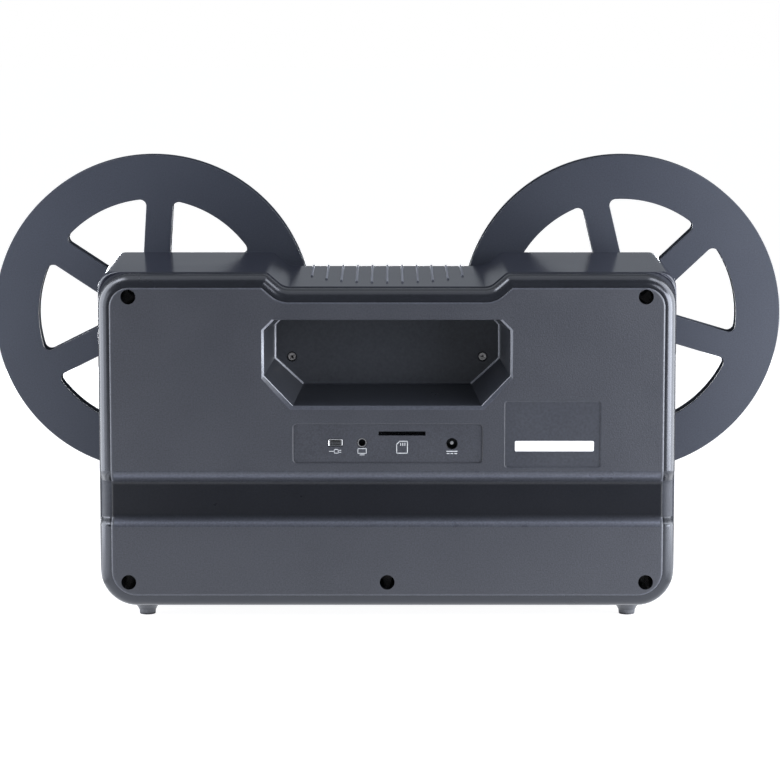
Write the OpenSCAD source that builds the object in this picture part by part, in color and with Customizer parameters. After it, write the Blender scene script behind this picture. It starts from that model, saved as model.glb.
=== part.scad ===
// Desktop scanner for small reels of cine film, resting on four rubber feet.
// X runs along the width, the rear panel faces -Y, the reels stand in front at +Y, Z is up.
// Depths are measured from the rear panel towards the front, heights from the case underside.

/* [Case] */
// Width across the sides
case_w = 303; // [298:1:310]
// Height from the underside to the top of the shoulders
case_h = 176.4; // [174:0.4:182]
// Depth from the rear panel to the front wall
case_d = 122; // [120:1:130]
// Thickness of the mouldings
wall = 3; // [2.6:0.1:3.2]
// Radius of the two lower corners
bottom_corner_r = 20; // [16:1:24]
// Radius of the two upper corners of the rear cover
top_corner_r = 17; // [14:1:21]
// Radius of the two upper corners of the front casing, which stand out behind those of the cover
casing_corner_r = 7.5; // [6:0.5:9]
// Rounding around the rear panel
rear_edge_r = 6.6; // [5.6:0.2:7]
// Height of the panel over the start of its rounded border
panel_step = 0.8; // [0.4:0.1:1]
// Straight rim of the rear cover in front of the rounding
cover_rim = 0.4; // [0.4:0.1:2]
// Rounding around the front wall
front_edge_r = 4; // [3:0.5:5]
// Sideways play of the cover lip inside the casing
cover_fit = 0.15; // [0.1:0.05:0.3]

/* [Feet] */
// Height of the case over the table
foot_h = 7; // [6:0.5:9]
// Radius of a rubber foot
foot_r = 4.4; // [4:0.1:5]
// Radius of a moulded foot boss where it meets the case
foot_boss_r = 7; // [5.8:0.1:7.4]
// Height of the rubber under its boss
rubber_h = 3; // [2:0.2:4]
// Distance of a rear foot from the side of the case
foot_inset = 24; // [22:1:30]
// Distance of a front foot from the middle
front_foot_x = 86; // [70:1:88]

/* [Carrying grip] */
// Half the width of the low part of the top
grip_half_w = 54; // [50:1:58]
// Width of the slope up to a shoulder
grip_slope = 8.8; // [7:0.2:11]
// Drop of the low part under the shoulders
grip_drop = 7.6; // [6:0.2:9]
// Spacing of the grip ribs
rib_pitch = 8.1; // [7:0.1:8.6]
// Width of a grip rib
rib_w = 1; // [0.8:0.1:1.6]
// Height of a grip rib
rib_h = 0.5; // [0.4:0.1:1]
// Depth at which the middle rib starts
rib_start = 33; // [28:1:40]

/* [Hand pocket] */
// Width of the pocket mouth
pocket_w = 129.2; // [122:0.2:134]
// Height of the lower edge of the pocket mouth over the underside
pocket_rise = 107.1; // [106:0.1:110]
// Drop of the pocket lip under the shoulders
pocket_drop = 23.5; // [22:0.5:26]
// Depth of the pocket
pocket_d = 36; // [30:1:42]
// Narrowing of the pocket from mouth to floor
pocket_draft = 6; // [4:0.5:7]

/* [Waist band] */
// Height of the lower edge of the recessed band
band_low = 43.6; // [40:0.2:46]
// Height of the band from edge to edge
band_h = 29.7; // [26:0.1:31]
// Recess of the band
band_d = 6.2; // [4:0.2:7]
// Height of each rounded slope of the band
band_ramp = 5.6; // [4:0.2:7]

/* [Case screws] */
// Radius of a screw well
well_r = 3.9; // [3.5:0.1:4.2]
// Depth of a screw well
well_d = 50; // [40:1:58]
// Distance of the upper wells from the side
well_top_side = 16.8; // [16:0.2:20]
// Distance of the upper wells from the top
well_top_drop = 11.5; // [11:0.1:13]
// Distance of the lower wells from the side
well_low_side = 15.7; // [15:0.1:19]
// Height of the lower wells
well_low = 14; // [12:0.5:18]

/* [Rear sockets] */
// Height of the socket row
port_row = 88.1; // [86:0.1:90]
// Width of the socket recess
port_w = 98.8; // [96:0.2:104]
// Height of the socket recess
port_h = 20.3; // [19:0.1:22]
// Depth of the socket recess
port_d = 1; // [0.6:0.1:1.2]
// Position of the data socket along the row
usb_x = -27; // [-30:0.5:-25]
// Position of the video jack along the row
av_x = -13.1; // [-16:0.1:-12]
// Position of the card slot along the row
card_x = 7.8; // [6:0.1:9]
// Position of the power jack along the row
dc_x = 33.9; // [32:0.1:36]
// Radius of the video jack bore
av_r = 1.8; // [1.6:0.05:2]
// Radius of the power jack bore
dc_r = 2.9; // [2.6:0.1:3.2]

/* [Label recess] */
// Distance of the middle of the label recess from the side
label_side = 65.1; // [60:0.1:68]
// Width of the label recess
label_w = 49.6; // [46:0.2:54]
// Height of the label recess
label_h = 34.4; // [30:0.2:36]
// Height of the lower edge of the label recess
label_low = 75.4; // [74.6:0.2:78]
// Depth of the label recess
label_d = 0.5; // [0.3:0.1:0.7]
// Width of the paper label
sticker_w = 41.3; // [36:0.1:44]
// Height of the paper label
sticker_h = 5.5; // [5:0.1:8]

/* [Chassis] */
// Thickness of the steel chassis
chassis_t = 2; // [1.5:0.1:2.5]
// Length of the moulded pillars between the front wall and the chassis
pillar_l = 19; // [18.5:0.5:22]

/* [Spindles] */
// Distance of a spindle from the side of the case
spindle_side = 20.7; // [20.4:0.1:23]
// Height of the spindles over the underside
spindle_rise = 139.5; // [139:0.1:143]
// Radius of the spindle journal
journal_r = 3.95; // [3.5:0.05:4.2]
// Running clearance of every journal
running_gap = 0.05; // [0.02:0.01:0.08]
// Outer radius of a spindle bush
bush_r = 7; // [6:0.1:7.4]
// Radius of the spindle end that carries the reel
pilot_r = 6.2; // [5.8:0.1:6.3]

/* [Reels] */
// Outer radius of a reel
reel_r = 88.9; // [86:0.1:89.4]
// Distance between the front wall and a reel
reel_gap = 18; // [17:0.5:22]
// Thickness of a reel flange
flange_t = 1.6; // [1.2:0.1:2]
// Space for the film between the flanges
film_gap = 9.8; // [9:0.1:11]
// Width of the outer ring of a flange
ring_w = 24.4; // [20:0.2:28]
// Width of a flange spoke
spoke_w = 14.8; // [11:0.2:18]
// Radius of the film core
core_r = 27; // [22:1:32]
// Corner radius of a flange window
window_r = 3.5; // [2:0.5:5]
// Play of the reel on its spindle
reel_fit = 0.2; // [0.1:0.05:0.4]

/* [Screen and buttons] */
// Width of the screen opening
lcd_w = 50; // [44:1:54]
// Height of the lower edge of the screen bezel over the underside
bezel_rise = 109.5; // [108:0.5:112]
// Drop of the upper edge of the screen bezel under the shoulders
bezel_drop = 16.9; // [14:0.1:18]
// Width of the bezel around the screen opening
bezel_edge = 6; // [5:0.5:6.5]
// Projection of the bezel
bezel_d = 2.4; // [1.5:0.1:4]
// Height of the button row over the underside
button_rise = 102.9; // [101:0.1:103.5]
// Spacing of the buttons
button_pitch = 13; // [12.4:0.2:13.4]
// Radius of a button
button_r = 4.2; // [3.6:0.1:4.4]
// Travel of a button
button_travel = 0.8; // [0.5:0.1:1]

/* [Camera hood] */
// Width of the hood
hood_w = 44; // [42:1:48]
// Height of the hood
hood_h = 26; // [25.5:0.5:27]
// Height of the hood underside over the film deck
hood_gap = 32; // [31:0.5:33]
// Thickness of the hood
hood_wall = 2.4; // [2:0.1:2.8]

/* [Film deck] */
// Width of the deck
deck_w = 196; // [190:1:200]
// Height of the deck top
deck_h = 39; // [38.5:0.5:41]
// Thickness of the deck
deck_wall = 2.5; // [2:0.1:2.8]

/* [Film track] */
// Width of the track plate
track_w = 100; // [98:1:104]
// Thickness of the track plate
track_t = 3.6; // [3.2:0.1:4]
// Width of the film channel
film_w = 8.2; // [8.1:0.05:8.6]
// Depth of the film channel
film_d = 0.8; // [0.6:0.1:1]
// Clear distance between a fixed piece and a piece that moves past it
moving_gap = 0.3; // [0.3:0.05:0.5]
// Radius of the lid hinge pin
hinge_pin_r = 1.25; // [1:0.05:1.4]
// Thickness of the lid
lid_t = 3.1; // [2.6:0.1:3.6]

/* [Guide rollers] */
// Radius of a roller pin
roller_pin_r = 2.5; // [2:0.1:2.8]
// Radius of a roller flange
roller_r = 7; // [6.4:0.1:7.2]
// Radius of the roller between its flanges
roller_core_r = 5.6; // [5:0.1:6]
// Distance of an inner roller from the middle
inner_roller_x = 53; // [53:0.5:57]
// Height of the inner rollers over the deck
inner_roller_h = 11; // [11:0.5:13]
// Distance of an outer roller from the middle
outer_roller_x = 78; // [75:0.5:78.5]
// Gap between a reel and the outer roller under it
reel_clear = 1.71; // [1.4:0.01:3]

/* [Film advance] */
// Throw of the claw crank
claw_throw = 2.1; // [1.6:0.1:2.4]
// Distance of the crank from the middle
crank_x = 30; // [29.5:0.5:31]
// Drop of the crank under the deck top
crank_drop = 20; // [19.5:0.5:21]

/* [Hidden] */
$fn = 48;
rear_y = -(case_d + reel_gap + 2 * flange_t + film_gap + 8.5) / 2;
cover_d = panel_step + rear_edge_r + band_d + cover_rim;
lip_t = 1.6;
lip_l = 3;
cavity_in = wall + cover_fit + lip_t;
top_z = foot_h + case_h;
grip_z = top_z - grip_drop;
half_w = case_w / 2;
label_x = half_w - label_side;
inner_wall_d = case_d - wall;
chassis_d = inner_wall_d - pillar_l - chassis_t;
corner_steps = 6;
edge_steps = 6;

// Corner points of the case outline with their radii, from the lower left round by the lower right.
function case_corners(upper_r) = [
    [-half_w, foot_h, bottom_corner_r],
    [half_w, foot_h, bottom_corner_r],
    [half_w, top_z, upper_r],
    [grip_half_w + grip_slope, top_z, 5],
    [grip_half_w, grip_z, 8],
    [-grip_half_w, grip_z, 8],
    [-grip_half_w - grip_slope, top_z, 5],
    [-half_w, top_z, upper_r]
];
cover_corners = case_corners(top_corner_r);
casing_corners = case_corners(casing_corner_r);

// Band profile from its lower to its upper edge: height over the table and recess.
band_steps = 6;
band_z0 = foot_h + band_low;
band_z1 = band_z0 + band_h;
band_levels = concat(
    [for (k = [0 : band_steps])
        [band_z0 + band_ramp * k / band_steps, band_d * (1 - cos(180 * k / band_steps)) / 2]],
    [for (k = [0 : band_steps])
        [band_z1 - band_ramp * (1 - k / band_steps), band_d * (1 + cos(180 * k / band_steps)) / 2]]
);
band_n = len(band_levels);

rib_count = 11;
rib_half_n = (rib_count - 1) / 2;

pocket_top = top_z - pocket_drop;
pocket_low = foot_h + pocket_rise;
pocket_h = pocket_top - pocket_low;
pocket_wall = 2.5;
grip_screw_x = 50.6;
grip_screw_z = pocket_low + pocket_h * 0.478;

well_wall = 1.5;
well_floor = 3;
well_end = well_d + well_floor;
wells = [
    [-half_w + well_top_side, top_z - well_top_drop],
    [half_w - well_top_side, top_z - well_top_drop],
    [-half_w + well_low_side, foot_h + well_low],
    [half_w - well_low_side, foot_h + well_low],
    [0, foot_h + well_low]
];

screw_r = 1.45;
screw_head_r = 2.7;
screw_head_t = 2;
clear_r = 1.65;

row_z = foot_h + port_row;
usb_h = 3.8;
usb_w = 7.6;
board_t = 1.6;
board_z = row_z + usb_h / 2;
board_top = board_z + board_t;
board_d0 = wall + 0.6;
board_d1 = 50;
board_hw = 46.4;
rail_x = 43;
rail_h = 9;
rail_d = 44;
board_screw_d = [14, 38];
card_w = 27;
card_t = 2.8;
socket_d0 = 1.2;
sticker_z = foot_h + label_low + 11;

spindle_x = half_w - spindle_side;
spindle_z = foot_h + spindle_rise;
boss_r = 11;
collar_l = 6;
bush_front = case_d + collar_l + 2;
bush_rear = chassis_d - 4;
chassis_top = spindle_z + bush_r + 7.5;
reel_d0 = case_d + reel_gap;
film_mid = reel_d0 + flange_t + film_gap / 2;
reel_d1 = reel_d0 + 2 * flange_t + film_gap;
seat_r = 13;
lock_d = reel_d1 + 4.5;
tip_d = reel_d1 + 8.5;
lever_half = 7.5;
lever_w = 5;
lever_t = 3.6;
lock_pin_r = 1;
hub_disc_r = core_r + 3;
takeup_spoke = 86.5;
supply_spoke = 43.4;

gear_module = 0.8;
gear_teeth = 40;
pinion_teeth = 15;
gear_pitch_r = gear_module * gear_teeth / 2;
pinion_pitch_r = gear_module * pinion_teeth / 2;
gear_axes = gear_pitch_r + pinion_pitch_r + 0.05;
gear_angle = -45;
gear_d0 = bush_rear - 8;
gear_d1 = bush_rear - 2;
high_boss_end = gear_d0 - 4;
tooth_play = 0.16;
motor_x = -spindle_x + gear_axes * cos(gear_angle);
motor_z = spindle_z + gear_axes * sin(gear_angle);
motor_r = 10;
motor_shaft_r = 1.45;

pillars = [[-62, foot_h + 65], [62, foot_h + 65], [-64, pocket_top], [64, pocket_top]];

lcd_z = (top_z - bezel_drop + foot_h + bezel_rise) / 2;
lcd_h = top_z - bezel_drop - foot_h - bezel_rise - 2 * bezel_edge;
bezel_w = lcd_w + 2 * bezel_edge;
bezel_h = lcd_h + 2 * bezel_edge;
window_w = lcd_w + 6;
window_h = lcd_h + 6;
button_z = foot_h + button_rise;
button_names = 6;
key_lip = 1.2;
key_flange_t = 1.6;
key_d0 = inner_wall_d - moving_gap - key_flange_t;
key_stem = 3;
switch_top = key_d0 - key_stem - button_travel - 0.2;
keyboard_d1 = switch_top - 1;
keyboard_x = 3 * button_pitch + 4;

deck_z0 = foot_h + 1;
deck_z1 = foot_h + deck_h;
deck_d1 = film_mid + 13.5;
deck_slope = 6;
deck_screw_z = [deck_z0 + deck_wall + 2.6, deck_z1 - deck_wall - 2.6];
deck_screws = [for (x = [-80, 80], z = deck_screw_z) [x, z]];
front_foot_d = deck_d1 - 14;
rear_foot_d = cover_d + 8;

hood_z0 = deck_z1 + hood_gap;
hood_z1 = hood_z0 + hood_h;
hood_d1 = film_mid + 13.5;
hood_screw_x = hood_w / 2 - hood_wall - 3;
hood_screw_z = hood_z1 - hood_wall - 3;
lens_z0 = hood_z0 - 2;
lens_r = 6;
sensor_z = hood_z1 - hood_wall - 6.4;

track_d0 = film_mid - 12;
track_d1 = film_mid + 10.5;
track_top = deck_z1 + track_t;
channel_z = track_top - film_d;
hinge_d = film_mid - 9;
hinge_r = 3;
hinge_z = track_top + moving_gap + hinge_r;
lid_half = 37.7;
ear_w = 4;
ear_x = lid_half + moving_gap;
lid_z0 = track_top + moving_gap;
lid_d1 = film_mid + 11;
hatch_x0 = -12;
hatch_x1 = 47;
hatch_d0 = film_mid - 7;
hatch_d1 = film_mid + 7;
track_screw_x = track_w / 2 - 4.4;
track_screw_d = [track_d0 + 2.8, track_d1 - 2.8];
track_screw_r = 1.2;
track_head_r = 2.3;

roller_d0 = film_mid - 5.4;
roller_l = 10.8;
roller_reach = reel_r + roller_r + reel_clear;
outer_roller_z = spindle_z - sqrt(pow(roller_reach, 2) - pow(spindle_x - outer_roller_x, 2));
rollers = [
    [-outer_roller_x, outer_roller_z],
    [-inner_roller_x, deck_z1 + inner_roller_h],
    [inner_roller_x, deck_z1 + inner_roller_h],
    [outer_roller_x, outer_roller_z]
];

light_hx = 9;
light_z0 = deck_z1 - 12;
crank_z = deck_z1 - crank_drop;
shuttle_d0 = film_mid - 3.3;
shuttle_t = 1.2;
bar_z0 = deck_z1 - 8;
bar_z1 = deck_z1 - 4.4;
guide_xs = [17, 39.5];
guide_w = 3.5;
slide_gap = 0.15;
crank_pin_r = 1;
yoke_r = 2 * claw_throw + crank_pin_r + 0.4;
claw_plate_d = film_mid - 8.4;
claw_plate_t = 1.1;
claw_motor_r = 10;

function unit(v) = v / norm(v);
function left_of(v) = [-v[1], v[0]];
function corner_arc(v, a, sgn, r, phi) =
    let (start = v - a * r * tan(phi / 2), mid = start + sgn * r * left_of(a),
        a0 = atan2(start[1] - mid[1], start[0] - mid[0]))
    [for (k = [0 : corner_steps]) mid + r * [cos(a0 + sgn * phi * k / corner_steps),
        sin(a0 + sgn * phi * k / corner_steps)]];
// One rounded corner of the corners c of an outline, moved inwards by t.
function corner(c, i, t) =
    let (n = len(c), p = c[(i + n - 1) % n], q = c[i],
        s = c[(i + 1) % n], a = unit([q[0] - p[0], q[1] - p[1]]),
        b = unit([s[0] - q[0], s[1] - q[1]]), na = left_of(a), nb = left_of(b),
        v = [q[0], q[1]] + t * (na + nb) / (1 + na * nb),
        sgn = a[0] * b[1] - a[1] * b[0] > 0 ? 1 : -1)
    corner_arc(v, a, sgn, max(0.2, q[2] - sgn * t), acos(a * b));
// Both outlines start at the middle of the underside, from where every other point is in sight.
function outline(c, t) = concat([[0, foot_h + t]], [for (i = [1 : 8]) each corner(c, i % 8, t)]);
function recess(z) = lookup(z, concat([[-1, 0]], band_levels, [[1000, 0]]));
function banded(t) = concat(
    [[0, foot_h + t]], corner(cover_corners, 1, t),
    [for (b = band_levels) [half_w - t, b[0]]],
    [for (i = [2 : 7]) each corner(cover_corners, i, t)],
    [for (k = [1 : band_n]) [-half_w + t, band_levels[band_n - k][0]]],
    corner(cover_corners, 0, t)
);
function backwards(v) = [for (k = [1 : len(v)]) v[len(v) - k]];
function in_place(ring, d) = [for (p = ring) [p[0], rear_y + d, p[1]]];

function fan(hub, rim) = [for (i = [0 : len(rim) - 2]) [hub, rim[i], rim[i + 1]]];

// Closed skin over rings of equal length that follow one another from rear to front.
module skin(rings) {
    n = len(rings[0]);
    last = (len(rings) - 1) * n;
    sides = [for (k = [0 : len(rings) - 2]) for (i = [0 : n - 1])
        [k * n + i, k * n + (i + 1) % n, (k + 1) * n + (i + 1) % n, (k + 1) * n + i]];
    cap = fan(0, [for (i = [1 : n - 1]) i]);
    rear = [for (f = cap) backwards(f)];
    front = [for (f = cap) [for (i = f) last + i]];
    polyhedron([for (r = rings) each r], concat(sides, rear, front));
}

// Shell with the band on its outer and inner face: each ring is an inset, a depth and whether it
// follows the band, from the panel round the rim to the inner floor.
module banded_shell(rings) {
    n = len(banded(0));
    m = corner_steps + 1;
    last = (len(rings) - 1) * n;
    mids = len(rings) * n;
    r0 = 1 + m;
    l0 = n - m - 1;
    top = band_n - 1;
    points = concat(
        [for (r = rings) for (p = banded(r[0])) [p[0], rear_y + r[1] + r[2] * recess(p[1]), p[1]]],
        [for (r = [rings[0], rings[len(rings) - 1]]) [0, rear_y + r[1], band_z1]]
    );
    sides = [for (k = [0 : len(rings) - 2]) for (i = [0 : n - 1])
        [k * n + i, k * n + (i + 1) % n, (k + 1) * n + (i + 1) % n, (k + 1) * n + i]];
    low = fan(0, concat([for (i = [1 : r0]) i], [for (i = [l0 : n - 1]) i]));
    strips = [for (i = [0 : top - 2]) [r0 + i, r0 + i + 1, l0 - i - 1, l0 - i]];
    high = [for (i = [r0 + top : l0 - top]) i];
    outer = concat(low, strips, cap_top(high, mids, r0 + top - 1, l0 - top + 1));
    inner = concat(low, strips, cap_top(high, mids + 1 - last, r0 + top - 1, l0 - top + 1));
    polyhedron(points, concat(sides, [for (f = outer) backwards(f)], [for (f = inner) [for (i = f) last + i]]));
}
// Panel over the band, spread from the middle of the upper band edge.
function cap_top(high, mid, r, l) = concat(
    fan(mid, high),
    [[r, high[0], mid], [r, mid, l], [l, mid, high[len(high) - 1]]]
);

// Straight piece between two depths with a section drawn over X and Z.
module slab(d0, d1) {
    translate([0, rear_y + d1, 0])
        rotate([90, 0, 0])
            linear_extrude(d1 - d0) children();
}
// Round bar along Y.
module rod(x, z, d0, d1, r) {
    translate([x, rear_y + d0, z])
        rotate([-90, 0, 0]) cylinder(h = d1 - d0, r = r);
}
// Turned piece along Y, drawn as radius over depth.
module turned(x, z, d0, profile) {
    translate([x, rear_y + d0, z])
        rotate([-90, 0, 0]) rotate_extrude() polygon(profile);
}
module block(x0, x1, d0, d1, z0, z1) {
    translate([x0, rear_y + d0, z0]) cube([x1 - x0, d1 - d0, z1 - z0]);
}
module pillar(x, d, z0, z1, r) {
    translate([x, rear_y + d, z0]) cylinder(h = z1 - z0, r = r);
}
module rounded(w, h, r) {
    square([w - 2 * r, h], center = true);
    square([w, h - 2 * r], center = true);
    for (x = [-1, 1], z = [-1, 1])
        translate([x * (w / 2 - r), z * (h / 2 - r)]) circle(r);
}
module screw(x, z, d, shank) {
    rod(x, z, d - screw_head_t, d, screw_head_r);
    rod(x, z, d - 0.2, d + shank, screw_r);
}

// Casing

module front_casing() {
    front_rings = concat(
        [in_place(outline(casing_corners, 0), cover_d)],
        [for (k = [0 : 4]) in_place(outline(casing_corners, front_edge_r * (1 - cos(22.5 * k))),
            case_d - front_edge_r * (1 - sin(22.5 * k)))]
    );
    color([0.17, 0.18, 0.21]) difference() {
        union() {
            difference() {
                skin(front_rings);
                slab(cover_d - 1, inner_wall_d) polygon(outline(cover_corners, wall));
            }
            for (w = wells) rod(w[0], w[1], well_end, w[1] > spindle_z ? high_boss_end : inner_wall_d + 1, 4);
            for (s = [-1, 1]) {
                x = s * (half_w - well_top_side);
                block(x - 1.2, x + 1.2, well_end, high_boss_end, top_z - well_top_drop, top_z - wall + 0.5);
            }
            for (s = [-1, 1])
                rod(s * spindle_x, spindle_z, chassis_d + chassis_t, case_d + collar_l, boss_r);
            for (p = pillars) rod(p[0], p[1], chassis_d + chassis_t, inner_wall_d + 1, 4);
            for (s = [-1, 1]) rod(s * keyboard_x, button_z, keyboard_d1, inner_wall_d + 1, 3);
            for (r = rollers) rod(r[0], r[1], case_d - 1, roller_d0 - moving_gap, 5.8);
            for (s = [-1, 1])
                translate([s * (half_w - foot_inset), rear_y + rear_foot_d, rubber_h])
                    cylinder(h = foot_h - rubber_h + 1, r1 = foot_r + 0.4, r2 = foot_boss_r + 0.6);
            for (i = [-rib_half_n : rib_half_n]) {
                x = i * rib_pitch;
                d0 = 78 - (78 - rib_start) * sqrt(1 - pow(i / (rib_half_n + 0.25), 2));
                block(x - rib_w / 2, x + rib_w / 2, d0, case_d - front_edge_r - 0.5, grip_z - 1, grip_z + rib_h);
            }
        }
        for (w = wells) rod(w[0], w[1], well_end - 1, well_end + 22, screw_r);
        for (s = [-1, 1]) rod(s * spindle_x, spindle_z, chassis_d, case_d + collar_l + 1, bush_r);
        for (p = pillars) rod(p[0], p[1], chassis_d, chassis_d + chassis_t + 14, screw_r);
        for (s = [-1, 1]) rod(s * keyboard_x, button_z, keyboard_d1 - 1, keyboard_d1 + 6, screw_r);
        for (r = rollers) rod(r[0], r[1], inner_wall_d - 1, case_d + 40, roller_pin_r);
        for (i = [0 : 5])
            rod((i - 2.5) * button_pitch, button_z, inner_wall_d - 1, case_d + 1, button_r + moving_gap);
        slab(inner_wall_d - 1, case_d + 1)
            translate([0, lcd_z]) square([window_w + 0.4, window_h + 0.4], center = true);
        for (p = deck_screws) rod(p[0], p[1], inner_wall_d - 1, case_d + 1, clear_r);
        for (s = [-1, 1]) rod(s * hood_screw_x, hood_screw_z, inner_wall_d - 1, case_d + 1, clear_r);
        slab(inner_wall_d - 1, case_d + 1)
            translate([0, foot_h + 20]) square([90, 12], center = true);
        slab(inner_wall_d - 1, case_d + 1)
            translate([0, hood_z0 + 9]) square([16, 8], center = true);
        for (s = [-1, 1])
            pillar(s * (half_w - foot_inset), rear_foot_d, rubber_h - 1, foot_h + wall - 1, 2);
    }
}

function pocket_ring(t, grow) =
    let (w = pocket_w / 2 - t + grow, b = pocket_low + 1.46 * t - grow, h = pocket_top - 0.2 * t + grow,
        cx = 15, cz = pocket_h * 0.347 - 0.4 * t, ct = pocket_h * 0.12)
    [[-w + cx, b], [w - cx, b], [w, b + cz], [w, h - ct], [w - ct, h], [-w + ct, h], [-w, h - ct], [-w, b + cz]];

module rear_cover() {
    shell_rings = concat(
        [[rear_edge_r + 0.4, 0, 1]],
        [for (k = [0 : edge_steps])
            [rear_edge_r * (1 - sin(90 * k / edge_steps)),
                panel_step + rear_edge_r * (1 - cos(90 * k / edge_steps)), 1]],
        [[0, cover_d, 0], [wall + cover_fit, cover_d, 0], [wall + cover_fit, cover_d + lip_l, 0],
            [cavity_in, cover_d + lip_l, 0], [cavity_in, wall, 1]]
    );
    color([0.19, 0.2, 0.23]) difference() {
        union() {
            banded_shell(shell_rings);
            skin([in_place(pocket_ring(pocket_draft * 1.5 / pocket_d, pocket_wall), 1.5),
                in_place(pocket_ring(pocket_draft, pocket_wall), pocket_d + pocket_wall)]);
            for (w = wells) rod(w[0], w[1], 1, well_end, well_r + well_wall);
            for (s = [-1, 1]) {
                block(s * rail_x - 1.5, s * rail_x + 1.5, wall - 1, rail_d, board_z - rail_h, board_z);
                for (d = board_screw_d) pillar(s * rail_x, d, board_z - rail_h, board_z, 3);
            }
        }
        skin([in_place(pocket_ring(-pocket_draft / pocket_d, 0), -1),
            in_place(pocket_ring(pocket_draft, 0), pocket_d)]);
        for (s = [-1, 1]) {
            rod(s * grip_screw_x, grip_screw_z, pocket_d - 1, pocket_d + 1.2, 2.4);
            rod(s * grip_screw_x, grip_screw_z, pocket_d, pocket_d + pocket_wall + 1, 1.4);
            for (d = board_screw_d) pillar(s * rail_x, d, board_z - 7, board_z + 1, screw_r);
        }
        for (w = wells) {
            rod(w[0], w[1], -1, well_d, well_r);
            rod(w[0], w[1], well_d - 1, well_end + 1, clear_r);
        }
        slab(-1, port_d) translate([0.4, row_z - 0.35]) rounded(port_w, port_h, 2);
        slab(-1, wall + 1) translate([usb_x, row_z]) square([usb_w + 0.3, usb_h + 0.3], center = true);
        rod(av_x, row_z, -1, wall + 1, 2.65);
        rod(dc_x, row_z - 0.5, -1, wall + 1, dc_r + 0.1);
        slab(-1, wall + 1) translate([card_x, board_top + card_t / 2]) square([24.6, 2.2], center = true);
        slab(-1, label_d)
            translate([label_x, foot_h + label_low + label_h / 2]) rounded(label_w, label_h, 1.2);
    }
}

module film_deck() {
    color([0.15, 0.16, 0.18]) difference() {
        union() {
            difference() {
                deck_shape(0);
                deck_shape(deck_wall);
            }
            for (p = deck_screws) rod(p[0], p[1], case_d, case_d + 12, 3.4);
            for (x = [-1, 1], d = track_screw_d)
                pillar(x * track_screw_x, d, deck_z1 - 10, deck_z1 - 1, 2.8);
            for (s = [-1, 1])
                translate([s * front_foot_x, rear_y + front_foot_d, rubber_h])
                    cylinder(h = deck_z0 - rubber_h + 1, r1 = foot_r + 0.4, r2 = foot_boss_r + 0.6);
        }
        for (p = deck_screws) rod(p[0], p[1], case_d - 1, case_d + 10, screw_r);
        for (x = [-1, 1], d = track_screw_d)
            pillar(x * track_screw_x, d, deck_z1 - 9, deck_z1 + 1, track_screw_r);
        block(hatch_x0, hatch_x1, hatch_d0, hatch_d1, deck_z1 - deck_wall - 1, deck_z1 + 1);
        for (s = [-1, 1]) pillar(s * front_foot_x, front_foot_d, rubber_h - 1, deck_z0 + deck_wall - 0.8, 2);
    }
}
// Deck outline, moved inwards by t and open towards the case.
module deck_shape(t) {
    z0 = deck_z0 + t;
    z1 = deck_z1 - t;
    d0 = t > 0 ? case_d - 1 : case_d;
    d1 = deck_d1 - t;
    r = 10 - t;
    intersection() {
        translate([-deck_w / 2 + t, 0, 0]) rotate([90, 0, 90])
            linear_extrude(deck_w - 2 * t) polygon([
                [rear_y + d0, z0], [rear_y + d1 - deck_slope, z0], [rear_y + d1, z1 - 8],
                [rear_y + d1, z1 - 1.5], [rear_y + d1 - 1.5, z1], [rear_y + d0, z1]
            ]);
        translate([0, rear_y, z0 - 1]) linear_extrude(z1 - z0 + 2) union() {
            translate([-deck_w / 2 + t, d0]) square([deck_w - 2 * t, d1 - d0 - r]);
            translate([-deck_w / 2 + t + r, d0]) square([deck_w - 2 * t - 2 * r, d1 - d0]);
            for (s = [-1, 1]) translate([s * (deck_w / 2 - t - r), d1 - r]) circle(r);
        }
    }
}

module case_screws() {
    color([0.35, 0.35, 0.37]) for (w = wells) {
        difference() {
            rod(w[0], w[1], well_d - 2.2, well_d, 3);
            cross(w[0], w[1], well_d - 2.2, 1.2, 2.6);
        }
        rod(w[0], w[1], well_d - 0.2, well_d + 20, screw_r);
    }
}
// Cross recess of a screw head, open towards the rear.
module cross(x, z, d, depth, span) {
    block(x - span / 2, x + span / 2, d - 1, d + depth, z - 0.35, z + 0.35);
    block(x - 0.35, x + 0.35, d - 1, d + depth, z - span / 2, z + span / 2);
}

module rubber_feet() {
    feet = [[-half_w + foot_inset, rear_foot_d, foot_h + wall - 1], [half_w - foot_inset, rear_foot_d, foot_h + wall - 1],
        [-front_foot_x, front_foot_d, deck_z0 + deck_wall - 0.8], [front_foot_x, front_foot_d, deck_z0 + deck_wall - 0.8]];
    color([0.06, 0.06, 0.07]) for (f = feet) {
        translate([f[0], rear_y + f[1], 0]) cylinder(h = rubber_h, r1 = foot_r - 0.5, r2 = foot_r);
        pillar(f[0], f[1], rubber_h - 0.5, f[2] - 0.2, 1.9);
    }
}

module handle_screws() {
    color([0.6, 0.6, 0.62]) for (s = [-1, 1]) {
        difference() {
            rod(s * grip_screw_x, grip_screw_z, pocket_d, pocket_d + 1.2, 1.9);
            cross(s * grip_screw_x, grip_screw_z, pocket_d, 0.7, 2.2);
        }
        rod(s * grip_screw_x, grip_screw_z, pocket_d + 1, pocket_d + 14, 1.2);
    }
}

module handle_posts() {
    color([0.2, 0.2, 0.22]) for (s = [-1, 1]) difference() {
        rod(s * grip_screw_x, grip_screw_z, pocket_d + pocket_wall, chassis_d, 4);
        rod(s * grip_screw_x, grip_screw_z, pocket_d + 1, pocket_d + 16, 1.2);
    }
}

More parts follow.
